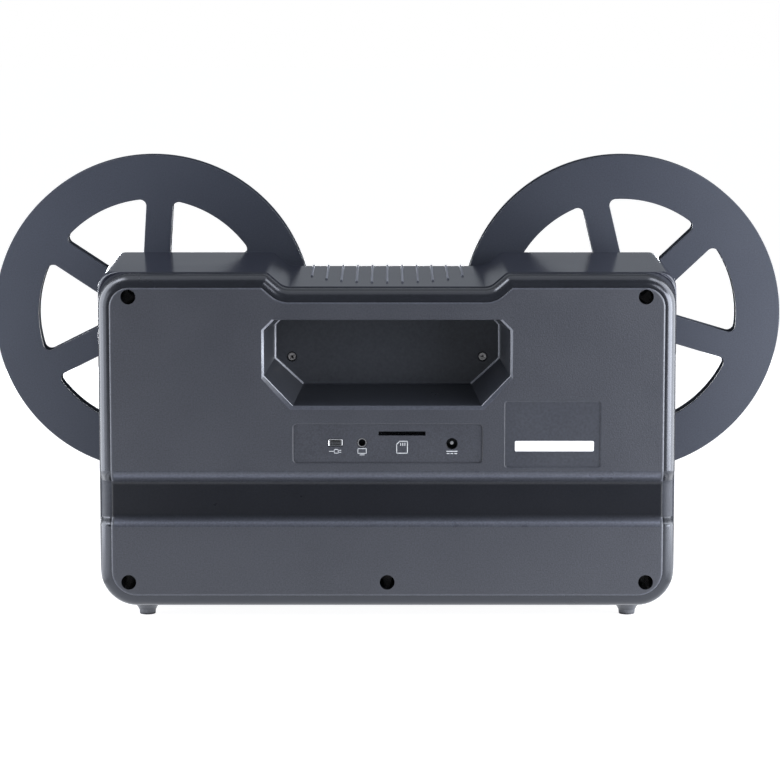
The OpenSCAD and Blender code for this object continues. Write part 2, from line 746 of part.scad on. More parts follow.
module chassis_plate() {
    color([0.62, 0.63, 0.65]) difference() {
        slab(chassis_d, chassis_d + chassis_t) difference() {
            translate([-half_w + 11, foot_h + 55]) square([case_w - 22, chassis_top - foot_h - 55]);
            for (s = [-1, 1]) translate([s * 95, foot_h + 80]) rounded(40, 34, 4);
            translate([0, foot_h + 78]) rounded(60, 24, 4);
        }
        for (s = [-1, 1]) rod(s * spindle_x, spindle_z, chassis_d - 1, chassis_d + chassis_t + 1, bush_r);
        for (p = pillars) rod(p[0], p[1], chassis_d - 1, chassis_d + chassis_t + 1, clear_r);
        rod(motor_x, motor_z, chassis_d - 1, chassis_d + chassis_t + 1, 3);
    }
}

module inner_screws() {
    color([0.7, 0.7, 0.72]) {
        for (p = pillars) screw(p[0], p[1], chassis_d, 12);
        for (p = deck_screws) screw(p[0], p[1], inner_wall_d, wall + 8);
        for (s = [-1, 1]) screw(s * hood_screw_x, hood_screw_z, inner_wall_d, wall + 8);
        for (s = [-1, 1]) screw(s * keyboard_x, button_z, keyboard_d1 - board_t, board_t + 5);
        for (s = [-1, 1], d = board_screw_d) {
            pillar(s * rail_x, d, board_top, board_top + screw_head_t, screw_head_r);
            pillar(s * rail_x, d, board_z - 5, board_top + 0.2, screw_r);
        }
    }
}

// Electronics

module main_board() {
    color([0.1, 0.3, 0.18]) {
        difference() {
            block(-board_hw, board_hw, board_d0, board_d1, board_z, board_top);
            block(av_x - 3.4, av_x + 3.4, board_d0 - 1, board_d0 + 14, board_z - 1, board_top + 1);
            block(dc_x - 4.7, dc_x + 4.7, board_d0 - 1, board_d0 + 14, board_z - 1, board_top + 1);
            for (s = [-1, 1], d = board_screw_d) pillar(s * rail_x, d, board_z - 1, board_top + 1, clear_r);
        }
        block(-36, -22, 26, 40, board_top, board_top + 1.4);
        block(-16, -9, 34, 46, board_top, board_top + 1.2);
        block(26, 34, 26, 34, board_top, board_top + 2.6);
        pillar(-30, 12, board_top, board_top + 7, 3);
    }
}
module usb_socket() {
    color([0.75, 0.75, 0.77]) difference() {
        block(usb_x - usb_w / 2, usb_x + usb_w / 2, socket_d0, socket_d0 + 9, row_z - usb_h / 2, board_z);
        difference() {
            block(usb_x - usb_w / 2 + 0.4, usb_x + usb_w / 2 - 0.4, 0, socket_d0 + 7,
                row_z - usb_h / 2 + 0.4, board_z - 0.4);
            block(usb_x - 2.6, usb_x + 2.6, socket_d0 + 1, socket_d0 + 8, row_z - 0.1, row_z + 0.9);
        }
    }
}
module av_jack() {
    color([0.08, 0.08, 0.09]) difference() {
        union() {
            rod(av_x, row_z, socket_d0, wall + 1, 2.5);
            block(av_x - 3.2, av_x + 3.2, wall, wall + 14, row_z - 3, row_z + 2.7);
        }
        rod(av_x, row_z, 0, wall + 12, av_r);
    }
}
module card_socket() {
    color([0.72, 0.72, 0.74]) difference() {
        block(card_x - card_w / 2, card_x + card_w / 2, board_d0, board_d0 + 28, board_top, board_top + card_t);
        block(card_x - 12.3, card_x + 12.3, 0, board_d0 + 25, board_top + 0.3, board_top + card_t - 0.3);
    }
}
module dc_jack() {
    color([0.07, 0.07, 0.08]) union() {
        difference() {
            block(dc_x - 4.5, dc_x + 4.5, wall, wall + 13, row_z - 6, row_z + 5);
            rod(dc_x, row_z - 0.5, 0, wall + 10, dc_r);
        }
        rod(dc_x, row_z - 0.5, wall + 1, wall + 11, 1);
    }
}
module serial_label() {
    color([0.93, 0.93, 0.91]) slab(label_d - 0.2, label_d)
        translate([label_x + 1, sticker_z]) square([sticker_w, sticker_h], center = true);
}
module lcd_bezel() {
    color([0.08, 0.08, 0.09]) difference() {
        slab(case_d, case_d + bezel_d) difference() {
            translate([0, lcd_z]) rounded(bezel_w, bezel_h, 3);
            translate([0, lcd_z]) square([lcd_w, lcd_h], center = true);
        }
    }
}
module lcd_window() {
    color([0.05, 0.06, 0.08]) slab(inner_wall_d + 0.3, case_d)
        translate([0, lcd_z]) square([window_w, window_h], center = true);
}
module lcd_module() {
    color([0.3, 0.31, 0.34]) slab(inner_wall_d - 3.4, inner_wall_d)
        translate([0, lcd_z]) square([window_w + 5, window_h + 4], center = true);
}
module button_board() {
    color([0.1, 0.3, 0.18]) {
        difference() {
            slab(keyboard_d1 - board_t, keyboard_d1)
                translate([0, button_z]) square([2 * keyboard_x + 8, 13], center = true);
            for (s = [-1, 1])
                rod(s * keyboard_x, button_z, keyboard_d1 - board_t - 1, keyboard_d1 + 1, clear_r);
        }
        for (i = [0 : 5]) {
            x = (i - 2.5) * button_pitch;
            block(x - 3, x + 3, keyboard_d1, switch_top, button_z - 3, button_z + 3);
        }
    }
}
module key(i) {
    x = (i - 2.5) * button_pitch;
    turned(x, button_z, key_d0 - key_stem, [
        [0, 0], [1.5, 0], [1.5, key_stem], [button_r + key_lip, key_stem],
        [button_r + key_lip, key_stem + key_flange_t], [button_r, key_stem + key_flange_t],
        [button_r, key_stem + key_flange_t + wall + 2], [button_r - 0.5, key_stem + key_flange_t + wall + 2.5],
        [0, key_stem + key_flange_t + wall + 2.5]
    ]);
}
module power_button() {
    color([0.5, 0.51, 0.53]) key(5);
}
module menu_button() {
    color([0.5, 0.51, 0.53]) key(4);
}
module left_button() {
    color([0.5, 0.51, 0.53]) key(3);
}
module right_button() {
    color([0.5, 0.51, 0.53]) key(2);
}
module ok_button() {
    color([0.5, 0.51, 0.53]) key(1);
}
module record_button() {
    color([0.6, 0.12, 0.1]) key(0);
}

// Camera and film gate

module camera_hood() {
    z = (hood_z0 + hood_z1) / 2;
    color([0.15, 0.16, 0.18]) difference() {
        union() {
            difference() {
                slab(case_d, hood_d1) translate([0, z]) rounded(hood_w, hood_h, 4);
                slab(case_d - 1, hood_d1 - hood_wall)
                    translate([0, z]) square([hood_w - 2 * hood_wall, hood_h - 2 * hood_wall], center = true);
            }
            for (s = [-1, 1]) {
                rod(s * hood_screw_x, hood_screw_z, case_d, case_d + 10, 3.4);
                block(s > 0 ? 12.5 : -hood_w / 2 + 1, s > 0 ? hood_w / 2 - 1 : -12.5,
                    film_mid - 10, hood_d1 - 1, sensor_z - 3, sensor_z);
            }
        }
        for (s = [-1, 1]) rod(s * hood_screw_x, hood_screw_z, case_d - 1, case_d + 9, screw_r);
        pillar(0, film_mid, hood_z0 - 1, hood_z0 + hood_wall + 1, lens_r + 0.1);
    }
}
module lens_barrel() {
    color([0.06, 0.06, 0.07]) difference() {
        union() {
            pillar(0, film_mid, lens_z0, sensor_z - 5, lens_r);
            block(-7.5, 7.5, film_mid - 7.5, film_mid + 7.5, sensor_z - 6, sensor_z);
        }
        pillar(0, film_mid, lens_z0 - 1, lens_z0 + 3, 4.2);
        pillar(0, film_mid, lens_z0 + 2, sensor_z + 1, 3);
    }
}
module lens_glass() {
    color([0.5, 0.6, 0.7]) pillar(0, film_mid, lens_z0 + 1, lens_z0 + 3, 4.15);
}
module sensor_board() {
    color([0.1, 0.3, 0.18]) block(-17, 17, film_mid - 9, film_mid + 9, sensor_z, sensor_z + board_t);
}

module film_track() {
    color([0.55, 0.56, 0.58]) difference() {
        union() {
            block(-track_w / 2, track_w / 2, track_d0, track_d1, deck_z1, track_top);
            for (s = [-1, 1]) {
                x0 = s > 0 ? ear_x : -ear_x - ear_w;
                block(x0, x0 + ear_w, hinge_d - hinge_r, hinge_d + hinge_r, track_top - 1, hinge_z);
                translate([x0, rear_y + hinge_d, hinge_z]) rotate([0, 90, 0]) cylinder(h = ear_w, r = hinge_r);
            }
            for (x = guide_xs)
                block(x, x + guide_w, shuttle_d0 - 1.4, shuttle_d0 + shuttle_t + 1.4, bar_z0 - 1.6, deck_z1 + 1);
        }
        block(-track_w, track_w, film_mid - film_w / 2, film_mid + film_w / 2, channel_z, track_top + 1);
        block(-5.2, 5.2, film_mid - 3.7, film_mid + 3.7, deck_z1 - 1, track_top);
        block(9.6, 9.6 + 3.2 + 2 * claw_throw, shuttle_d0 - 0.3, shuttle_d0 + shuttle_t + 0.3, deck_z1 - 1, track_top);
        for (x = guide_xs)
            block(x - 1, x + guide_w + 1, shuttle_d0 - slide_gap, shuttle_d0 + shuttle_t + slide_gap,
                bar_z0 - slide_gap, bar_z1 + slide_gap);
        translate([-track_w, rear_y + hinge_d, hinge_z])
            rotate([0, 90, 0]) cylinder(h = 2 * track_w, r = hinge_pin_r);
        for (x = [-1, 1], d = track_screw_d) {
            pillar(x * track_screw_x, d, deck_z1 - 1, track_top + 1, track_screw_r + 0.2);
            pillar(x * track_screw_x, d, track_top - 1.4, track_top + 1, track_head_r + 0.2);
        }
    }
}
module track_screws() {
    color([0.75, 0.75, 0.77]) for (x = [-1, 1], d = track_screw_d) {
        difference() {
            pillar(x * track_screw_x, d, track_top - 1.4, track_top - 0.1, track_head_r);
            block(x * track_screw_x - 1.6, x * track_screw_x + 1.6, d - 0.3, d + 0.3, track_top - 0.7, track_top + 1);
        }
        pillar(x * track_screw_x, d, deck_z1 - 8, track_top - 1.2, track_screw_r);
    }
}
module light_box() {
    color([0.85, 0.85, 0.83]) difference() {
        block(-light_hx, light_hx, film_mid - 5.5, film_mid + 5.5, light_z0, deck_z1);
        block(-5, 5, film_mid - 3.6, film_mid + 3.6, light_z0 - 1, deck_z1 + 1);
    }
}
module led_board() {
    color([0.9, 0.9, 0.88]) {
        block(-light_hx, light_hx, film_mid - 5.5, film_mid + 5.5, light_z0 - board_t, light_z0);
        block(-1.8, 1.8, film_mid - 1.8, film_mid + 1.8, light_z0, light_z0 + 1);
    }
}
module light_diffuser() {
    color([0.95, 0.95, 0.95])
        block(-4.8, 4.8, film_mid - 3.4, film_mid + 3.4, deck_z1 - 6, channel_z - 0.4);
}
module film_lid() {
    color([0.16, 0.17, 0.19]) difference() {
        union() {
            translate([-lid_half, rear_y + hinge_d, hinge_z]) rotate([0, 90, 0]) cylinder(h = 2 * lid_half, r = hinge_r);
            block(-lid_half, lid_half, hinge_d, lid_d1, lid_z0, lid_z0 + lid_t);
            block(-20, 20, film_mid - film_w / 2 + 0.3, film_mid + film_w / 2 - 0.3, lid_z0 - 0.75, lid_z0 + 1);
            block(-8, 8, lid_d1 - 1, lid_d1 + 2, lid_z0 + 0.6, lid_z0 + lid_t - 0.4);
        }
        block(-7, 7, film_mid - 3.4, film_mid + 3.4, lid_z0 - 2, lid_z0 + lid_t + 1);
        translate([-lid_half - 1, rear_y + hinge_d, hinge_z])
            rotate([0, 90, 0]) cylinder(h = 2 * lid_half + 2, r = hinge_pin_r + running_gap);
    }
}
module lid_hinge_pin() {
    color([0.78, 0.78, 0.8]) translate([-ear_x - ear_w, rear_y + hinge_d, hinge_z])
        rotate([0, 90, 0]) cylinder(h = 2 * (ear_x + ear_w), r = hinge_pin_r);
}

module roller_pins() {
    color([0.78, 0.78, 0.8]) for (r = rollers) {
        rod(r[0], r[1], inner_wall_d, roller_d0 + roller_l + 1, roller_pin_r);
        rod(r[0], r[1], roller_d0 + roller_l + moving_gap, roller_d0 + roller_l + 1.8, roller_pin_r + 1.4);
    }
}
module roller(i) {
    r = rollers[i];
    bore = roller_pin_r + running_gap;
    color([0.86, 0.86, 0.84]) turned(r[0], r[1], roller_d0, [
        [bore, 0], [roller_r, 0], [roller_r, 0.8], [roller_core_r, 1.3], [roller_core_r, roller_l - 1.3],
        [roller_r, roller_l - 0.8], [roller_r, roller_l], [bore, roller_l]
    ]);
}
module takeup_outer_roller() {
    roller(0);
}
module takeup_inner_roller() {
    roller(1);
}
module supply_inner_roller() {
    roller(2);
}
module supply_outer_roller() {
    roller(3);
}

// Spindles and reels

module spindle(x) {
    rear = gear_d0 - 3;
    difference() {
        union() {
            turned(x, spindle_z, rear, [
                [0, 0], [journal_r, 0], [journal_r, bush_front + 0.3 - rear], [8, bush_front + 0.3 - rear],
                [seat_r, bush_front + 3 - rear], [seat_r, reel_d0 - rear], [pilot_r, reel_d0 - rear],
                [pilot_r, tip_d - 1 - rear], [pilot_r - 1, tip_d - rear], [0, tip_d - rear]
            ]);
            block(x + pilot_r - 1, x + pilot_r + 1.4, reel_d0 - 1, reel_d1 - 1, spindle_z - 1.2, spindle_z + 1.2);
        }
        block(x - lever_t / 2 - 0.2, x + lever_t / 2 + 0.2, lock_d - lever_half - 0.8, tip_d + 1,
            spindle_z - pilot_r - 1, spindle_z + pilot_r + 1);
        translate([x - 10, rear_y + lock_d, spindle_z]) rotate([0, 90, 0]) cylinder(h = 20, r = lock_pin_r);
    }
}
module lock_pin(x) {
    color([0.8, 0.8, 0.82]) translate([x - pilot_r + 0.4, rear_y + lock_d, spindle_z])
        rotate([0, 90, 0]) cylinder(h = 2 * pilot_r - 0.8, r = lock_pin_r);
}
module lock_lever(x) {
    color([0.8, 0.8, 0.82]) translate([x - lever_t / 2, rear_y + lock_d, spindle_z])
        rotate([90, 0, 90]) linear_extrude(lever_t) difference() {
            union() {
                square([lever_w, 2 * lever_half - lever_w], center = true);
                for (s = [-1, 1]) translate([0, s * (lever_half - lever_w / 2)]) circle(lever_w / 2);
            }
            circle(lock_pin_r + running_gap);
        }
}
module bush(x) {
    bore = journal_r + running_gap;
    color([0.72, 0.56, 0.3]) turned(x, spindle_z, bush_rear, [
        [bore, 0], [bush_r, 0], [bush_r, bush_front - 2 - bush_rear], [bush_r + 2, bush_front - 2 - bush_rear],
        [bush_r + 2, bush_front - bush_rear], [bore, bush_front - bush_rear]
    ]);
}

// Edge of one window of a reel flange, between the spoke along +X and the next one 60 degrees on.
// Half of it runs from the outer ring to the hub disc, the other half mirrors it.
function window_half(rim, hub, h, r) = let (
    a = asin((h + r) / (rim - r)),
    b = asin((h + r) / (hub + r)),
    outer = (rim - r) * [cos(a), sin(a)],
    inner = (hub + r) * [cos(b), sin(b)]
) concat(
    [for (k = [0 : 7]) let (t = 30 + (a - 30) * k / 7) rim * [cos(t), sin(t)]],
    [for (k = [1 : 5]) let (t = a - (a + 90) * k / 5) outer + r * [cos(t), sin(t)]],
    [for (k = [0 : 4]) let (t = 270 - (90 - b) * k / 5) inner + r * [cos(t), sin(t)]],
    [for (k = [0 : 3]) let (t = b + (30 - b) * k / 3) hub * [cos(t), sin(t)]]
);
function over_30(p) = [p[0] * cos(60) + p[1] * sin(60), p[0] * sin(60) - p[1] * cos(60)];
function window_edge(rim, hub, h, r) = let (half = window_half(rim, hub, h, r)) concat(
    [for (k = [1 : len(half) - 2]) over_30(half[k])], backwards(half)
);
module flange(x, angle, d0) {
    slab(d0, d0 + flange_t) translate([x, spindle_z]) difference() {
        circle(reel_r, $fn = 180);
        for (k = [0 : 5]) rotate(angle + 60 * k)
            polygon(window_edge(reel_r - ring_w, hub_disc_r, spoke_w / 2, window_r));
        circle(pilot_r + reel_fit);
        translate([pilot_r - 1, -1.5]) square([2.8, 3]);
    }
}
module reel_rear_half(x, angle) {
    color([0.27, 0.29, 0.34]) union() {
        flange(x, angle, reel_d0);
        slab(reel_d0 + flange_t - 0.2, reel_d1 - flange_t) translate([x, spindle_z]) difference() {
            union() {
                difference() {
                    circle(core_r, $fn = 96);
                    circle(core_r - 2.5, $fn = 96);
                }
                circle(pilot_r + 4);
                for (k = [0 : 2]) rotate(angle + 60 * k) square([2 * core_r - 2, 2], center = true);
            }
            circle(pilot_r + reel_fit);
            translate([pilot_r - 1, -1.5]) square([2.8, 3]);
        }
    }
}
module reel_front_half(x, angle) {
    color([0.27, 0.29, 0.34]) union() {
        flange(x, angle, reel_d1 - flange_t);
        slab(reel_d1 - 0.4, reel_d1 + 0.6) translate([x, spindle_z]) difference() {
            circle(pilot_r + 4.6);
            circle(pilot_r + reel_fit + 1.8);
        }
    }
}

module supply_shaft() {
    color([0.66, 0.67, 0.69]) spindle(spindle_x);
}
module supply_bush() {
    bush(spindle_x);
}
module supply_brake() {
    color([0.35, 0.1, 0.1]) turned(spindle_x, spindle_z, bush_rear - 2,
        [[journal_r, 0], [9, 0], [9, 2], [journal_r, 2]]);
    color([0.6, 0.6, 0.62]) turned(spindle_x, spindle_z, gear_d0,
        [[journal_r, 0], [8, 0], [9, 1], [9, 6], [journal_r, 6]]);
}
module supply_reel_rear_half() {
    reel_rear_half(spindle_x, supply_spoke);
}
module supply_reel_front_half() {
    reel_front_half(spindle_x, supply_spoke);
}
module supply_lock_lever() {
    lock_lever(spindle_x);
}
module supply_lock_pin() {
    lock_pin(spindle_x);
}
module takeup_shaft() {
    color([0.66, 0.67, 0.69]) spindle(-spindle_x);
}
module takeup_bush() {
    bush(-spindle_x);
}
module takeup_reel_rear_half() {
    reel_rear_half(-spindle_x, takeup_spoke);
}
module takeup_reel_front_half() {
    reel_front_half(-spindle_x, takeup_spoke);
}
module takeup_lock_lever() {
    lock_lever(-spindle_x);
}
module takeup_lock_pin() {
    lock_pin(-spindle_x);
}

// Involute flank at pressure angle 20, as radius and angle from the tooth middle.
function flank(base, half, r) =
    let (t = sqrt(max(0, pow(r / base, 2) - 1)))
    half - (t * 180 / PI - atan(t));
module gear_shape(teeth) {
    pitch_r = gear_module * teeth / 2;
    base = pitch_r * cos(20);
    tip = pitch_r + 0.9 * gear_module;
    root = pitch_r - 1.2 * gear_module;
    half = 90 / teeth - (tooth_play / 2) / pitch_r * 180 / PI + (tan(20) * 180 / PI - 20);
    radii = [for (k = [0 : 4]) max(base, root) + (tip - max(base, root)) * k / 4];
    polygon([for (i = [0 : teeth - 1]) each let (a = 360 / teeth * i) concat(
        [root * [cos(a - half - 0.2), sin(a - half - 0.2)]],
        [for (r = radii) r * [cos(a - flank(base, half, r)), sin(a - flank(base, half, r))]],
        [for (r = backwards(radii)) r * [cos(a + flank(base, half, r)), sin(a + flank(base, half, r))]],
        [root * [cos(a + half + 0.2), sin(a + half + 0.2)]]
    )]);
}
module takeup_gear() {
    color([0.85, 0.83, 0.76]) difference() {
        union() {
            slab(gear_d0, gear_d1) translate([-spindle_x, spindle_z]) rotate(gear_angle) gear_shape(gear_teeth);
            rod(-spindle_x, spindle_z, gear_d0 - 2, bush_rear, 7);
        }
        rod(-spindle_x, spindle_z, gear_d0 - 3, bush_rear + 1, journal_r);
    }
}
module takeup_motor() {
    color([0.68, 0.69, 0.71]) difference() {
        rod(motor_x, motor_z, chassis_d + chassis_t, inner_wall_d - 1, motor_r);
        rod(motor_x, motor_z, chassis_d, chassis_d + chassis_t + 13, motor_shaft_r + running_gap);
    }
}
module takeup_pinion() {
    color([0.78, 0.65, 0.35]) union() {
        slab(gear_d0 - 0.5, gear_d1 + 0.5) translate([motor_x, motor_z])
            rotate(gear_angle + 180 + 180 / pinion_teeth) gear_shape(pinion_teeth);
        rod(motor_x, motor_z, gear_d0, chassis_d + chassis_t + 12, motor_shaft_r);
    }
}

// Film advance under the track

module claw_motor() {
    color([0.68, 0.69, 0.71]) difference() {
        union() {
            rod(crank_x, crank_z, case_d + 1, claw_plate_d + 0.5, claw_motor_r);
            block(crank_x - 12, crank_x + 12, claw_plate_d, claw_plate_d + claw_plate_t,
                crank_z - 11, deck_z1 - deck_wall);
        }
        rod(crank_x, crank_z, claw_plate_d - 9, claw_plate_d + claw_plate_t + 1, motor_shaft_r + running_gap);
    }
}
module claw_crank() {
    disc_d = claw_plate_d + claw_plate_t + 0.3;
    color([0.78, 0.65, 0.35]) union() {
        rod(crank_x, crank_z, claw_plate_d - 8, disc_d + 1, motor_shaft_r);
        rod(crank_x, crank_z, disc_d, disc_d + 2, 5);
        rod(crank_x, crank_z + claw_throw, disc_d + 1, shuttle_d0 + shuttle_t + 1, crank_pin_r);
    }
}
module claw_shuttle() {
    color([0.8, 0.8, 0.82]) slab(shuttle_d0, shuttle_d0 + shuttle_t) difference() {
        union() {
            translate([12.2, bar_z0]) square([32, bar_z1 - bar_z0]);
            translate([12.2, bar_z0]) square([1.4, channel_z + 0.2 - bar_z0]);
            translate([crank_x, crank_z]) circle(yoke_r + 3.2);
            translate([crank_x - 3, crank_z + yoke_r + 1]) square([6, bar_z0 - crank_z - yoke_r]);
        }
        translate([crank_x, crank_z]) circle(yoke_r);
    }
}

front_casing();
rear_cover();
film_deck();
case_screws();
rubber_feet();
handle_screws();
handle_posts();
chassis_plate();
inner_screws();
main_board();
usb_socket();
av_jack();
card_socket();
dc_jack();
serial_label();
lcd_bezel();
lcd_window();
lcd_module();
button_board();
power_button();
menu_button();
left_button();
right_button();
ok_button();
record_button();
camera_hood();
lens_barrel();
lens_glass();
sensor_board();
film_track();
track_screws();
light_box();
led_board();
light_diffuser();
film_lid();
lid_hinge_pin();
roller_pins();
takeup_outer_roller();
takeup_inner_roller();
supply_inner_roller();
supply_outer_roller();
supply_shaft();
supply_bush();
supply_brake();
supply_reel_rear_half();
supply_reel_front_half();
supply_lock_lever();
supply_lock_pin();
takeup_shaft();
takeup_bush();
takeup_gear();
takeup_reel_rear_half();
takeup_reel_front_half();
takeup_lock_lever();
takeup_lock_pin();
takeup_motor();
takeup_pinion();
claw_motor();
claw_crank();
claw_shuttle();
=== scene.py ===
import math

import bmesh
import bpy
from mathutils import Matrix, Vector


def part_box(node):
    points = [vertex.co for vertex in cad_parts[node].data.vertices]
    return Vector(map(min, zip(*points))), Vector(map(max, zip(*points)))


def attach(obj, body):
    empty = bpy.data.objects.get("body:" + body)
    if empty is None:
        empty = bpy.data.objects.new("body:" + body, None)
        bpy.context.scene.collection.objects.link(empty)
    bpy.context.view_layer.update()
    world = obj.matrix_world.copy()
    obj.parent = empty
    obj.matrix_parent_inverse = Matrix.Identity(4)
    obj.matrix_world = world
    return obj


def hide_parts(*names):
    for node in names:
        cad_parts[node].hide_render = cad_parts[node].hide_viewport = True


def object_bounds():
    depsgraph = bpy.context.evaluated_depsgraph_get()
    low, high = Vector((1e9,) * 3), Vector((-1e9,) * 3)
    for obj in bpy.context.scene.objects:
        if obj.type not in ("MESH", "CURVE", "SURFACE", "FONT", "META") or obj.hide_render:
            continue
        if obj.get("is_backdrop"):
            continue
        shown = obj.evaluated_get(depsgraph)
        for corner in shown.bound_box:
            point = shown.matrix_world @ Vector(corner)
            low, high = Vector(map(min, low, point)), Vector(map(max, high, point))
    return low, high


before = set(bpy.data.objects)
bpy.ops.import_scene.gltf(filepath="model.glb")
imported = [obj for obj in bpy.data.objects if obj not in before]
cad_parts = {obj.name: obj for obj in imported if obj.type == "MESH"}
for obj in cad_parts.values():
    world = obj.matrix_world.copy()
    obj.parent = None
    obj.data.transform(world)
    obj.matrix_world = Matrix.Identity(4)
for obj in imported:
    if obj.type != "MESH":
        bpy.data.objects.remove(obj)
cad_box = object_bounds()

# The room: a pale seamless floor under soft lamps, seen from behind the scanner.
# Depths are counted in millimetres from the rear panel, heights from the table.
MM = 0.001
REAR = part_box("rear_cover")[0][1] / MM
scene = bpy.context.scene
scene.view_settings.view_transform = "Standard"


def spot(x, d, z):
    return Vector((x, REAR + d, z)) * MM


camera = bpy.data.objects.new("camera", bpy.data.cameras.new("camera"))
camera.data.lens = 161.07
camera.data.sensor_width = 36
camera.data.sensor_fit = "HORIZONTAL"
camera.data.clip_end = 20
eye = spot(1.5, -1802.2, 376.4)
camera.location = eye
camera.rotation_euler = (spot(1.5, 10, 121.7) - eye).to_track_quat("-Z", "Y").to_euler()
scene.collection.objects.link(camera)
scene.camera = camera


def wire(tree, kind, links, **settings):
    # A node of the given kind with its settings made and its inputs linked or set.
    node = tree.nodes.new(kind)
    for label, value in settings.items():
        setattr(node, label, value)
    for socket, source in links.items():
        if isinstance(source, bpy.types.NodeSocket):
            tree.links.new(source, node.inputs[socket])
        else:
            node.inputs[socket].default_value = source
    return node


def sums(tree, operation, a, b=0.0, c=0.0, clamp=False):
    links = {0: a, 1: b, 2: c}
    return wire(tree, "ShaderNodeMath", links, operation=operation, use_clamp=clamp).outputs[0]


world = bpy.data.worlds.new("studio")
scene.world = world
world.use_nodes = True
sky = world.node_tree
sky.nodes.clear()
rays = wire(sky, "ShaderNodeLightPath", {})
show_white = sums(sky, "ADD", rays.outputs["Is Camera Ray"], rays.outputs["Is Transmission Ray"])
mirrored = sums(sky, "MULTIPLY_ADD", rays.outputs["Is Glossy Ray"], 0.06, show_white, True)
fill = wire(sky, "ShaderNodeBackground", {"Color": (0.8, 0.88, 1.0, 1.0), "Strength": 0.22})
white = wire(sky, "ShaderNodeBackground", {"Color": (1.0, 1.0, 1.0, 1.0)})
both = wire(sky, "ShaderNodeMixShader", {0: mirrored, 1: fill.outputs[0], 2: white.outputs[0]})
wire(sky, "ShaderNodeOutputWorld", {"Surface": both.outputs[0]})

COOL = (0.93, 0.96, 1.0)


def lamp(name, place, aim, width, height, power):
    data = bpy.data.lights.new(name, "AREA")
    data.shape = "RECTANGLE"
    data.size = width
    data.size_y = height
    data.energy = power
    data.color = COOL
    obj = bpy.data.objects.new(name, data)
    obj.location = place
    obj.rotation_euler = (Vector(aim) - Vector(place)).to_track_quat("-Z", "Y").to_euler()
    obj.visible_camera = False
    scene.collection.objects.link(obj)


lamp("right_wall", (0.38, -0.035, 0.24), (0.0, -0.035, 0.24), 0.27, 0.48, 2.2)
lamp("left_wall", (-0.38, -0.035, 0.24), (0.0, -0.035, 0.24), 0.27, 0.48, 2.1)
lamp("right_high", (0.34, -0.06, 0.6), (0.15, -0.06, 0.18), 0.2, 0.2, 0.7)
lamp("left_high", (-0.34, -0.06, 0.6), (-0.15, -0.06, 0.18), 0.2, 0.2, 1.1)
lamp("right_card", (0.52, -0.34, 0.17), (0.0, -0.1, 0.14), 0.36, 0.34, 4.6)
lamp("left_card", (-0.52, -0.34, 0.17), (0.0, -0.1, 0.14), 0.36, 0.34, 1.0)
lamp("right_table", (0.34, -0.17, 0.001), (0.34, -0.17, 1.0), 0.3, 0.42, 0.6)
lamp("left_floor", (-0.27, -0.46, 0.001), (-0.27, -0.46, 1.0), 0.24, 0.3, 0.3)
lamp("left_table", (-0.34, -0.17, 0.001), (-0.34, -0.17, 1.0), 0.3, 0.42, 0.75)
lamp("front_table", (0.0, -0.13, 0.001), (0.0, -0.13, 1.0), 0.36, 0.2, 0.25)
lamp("overhead", (0.0, 0.1, 1.0), (0.0, 0.0, 0.1), 1.2, 0.8, 2.0)
lamp("key_lamp", (0.66, -1.0, 0.68), (0.0, -0.08, 0.12), 0.36, 0.36, 2.6)
lamp("front_low", (-0.15, 0.95, 0.09), (0.0, 0.1, 0.09), 0.9, 0.15, 6.0)

floor_mesh = bpy.data.meshes.new("floor")
floor_mesh.from_pydata([(-6, -6, 0), (6, -6, 0), (6, 6, 0), (-6, 6, 0)], [], [(0, 1, 2, 3)])
floor = bpy.data.objects.new("floor", floor_mesh)
scene.collection.objects.link(floor)
paper = bpy.data.materials.new("pale_floor")
paper.use_nodes = True
tree = paper.node_tree
tree.nodes.clear()
matt = wire(tree, "ShaderNodeBsdfDiffuse", {"Color": (0.32, 0.32, 0.33, 1.0)})
seen = wire(tree, "ShaderNodeLightPath", {})
direct = sums(tree, "ADD", seen.outputs["Is Camera Ray"], seen.outputs["Is Transmission Ray"], clamp=True)
lift = sums(tree, "MULTIPLY", direct, 0.94)
strength = sums(tree, "MULTIPLY_ADD", seen.outputs["Is Glossy Ray"], 0.1, lift)
glow = wire(tree, "ShaderNodeEmission", {"Color": (1.0, 1.0, 1.0, 1.0), "Strength": strength})
added = wire(tree, "ShaderNodeAddShader", {0: matt.outputs[0], 1: glow.outputs[0]})
wire(tree, "ShaderNodeOutputMaterial", {"Surface": added.outputs[0]})
floor_mesh.materials.append(paper)
floor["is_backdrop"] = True

# The rear cover: one charcoal moulding with a spark-grained panel, a smooth rounded border, a smooth
# band across it and a deep hand pocket. Five screws in round wells pull it onto the front casing.
HALF_W = 151.5
UNDERSIDE = 7.0
SHOULDER = 183.4
GRIP_TOP = 175.8
GRIP_MOUTH = 62.8
GRIP_FLOOR = 54.0
BAND_LOW = 50.6
BAND_HIGH = 80.3
BAND_RAMP_LOW = 5.6
BAND_RAMP_HIGH = 8.4
BAND_DEEP = 6.2
BAND_SIDE = 0.5
BEAD_R = 6.6
BEAD_INNER = 6.7
BEAD_WIDE = 6.2
PANEL_STEP = 0.8
COVER_END = 13.3
WELLS = ((-134.7, 171.9), (134.7, 171.9), (-135.8, 21.0), (0.0, 21.0), (135.8, 21.0))
WELL_R = 3.9
POCKET_HALF = 64.6
POCKET_LOW = 114.1
POCKET_HIGH = 159.9
POCKET_DEEP = 36.0
POCKET_CORNER = 5.5
GRIP_SCREWS = ((-50.6, 136.0), (50.6, 136.0))
DATA_SOCKET = (-27.0, 95.1)
PICTURE_JACK = (-13.1, 95.1)
CARD_SLOT = (7.8, 100.0)
POWER_INLET = (33.9, 94.6)


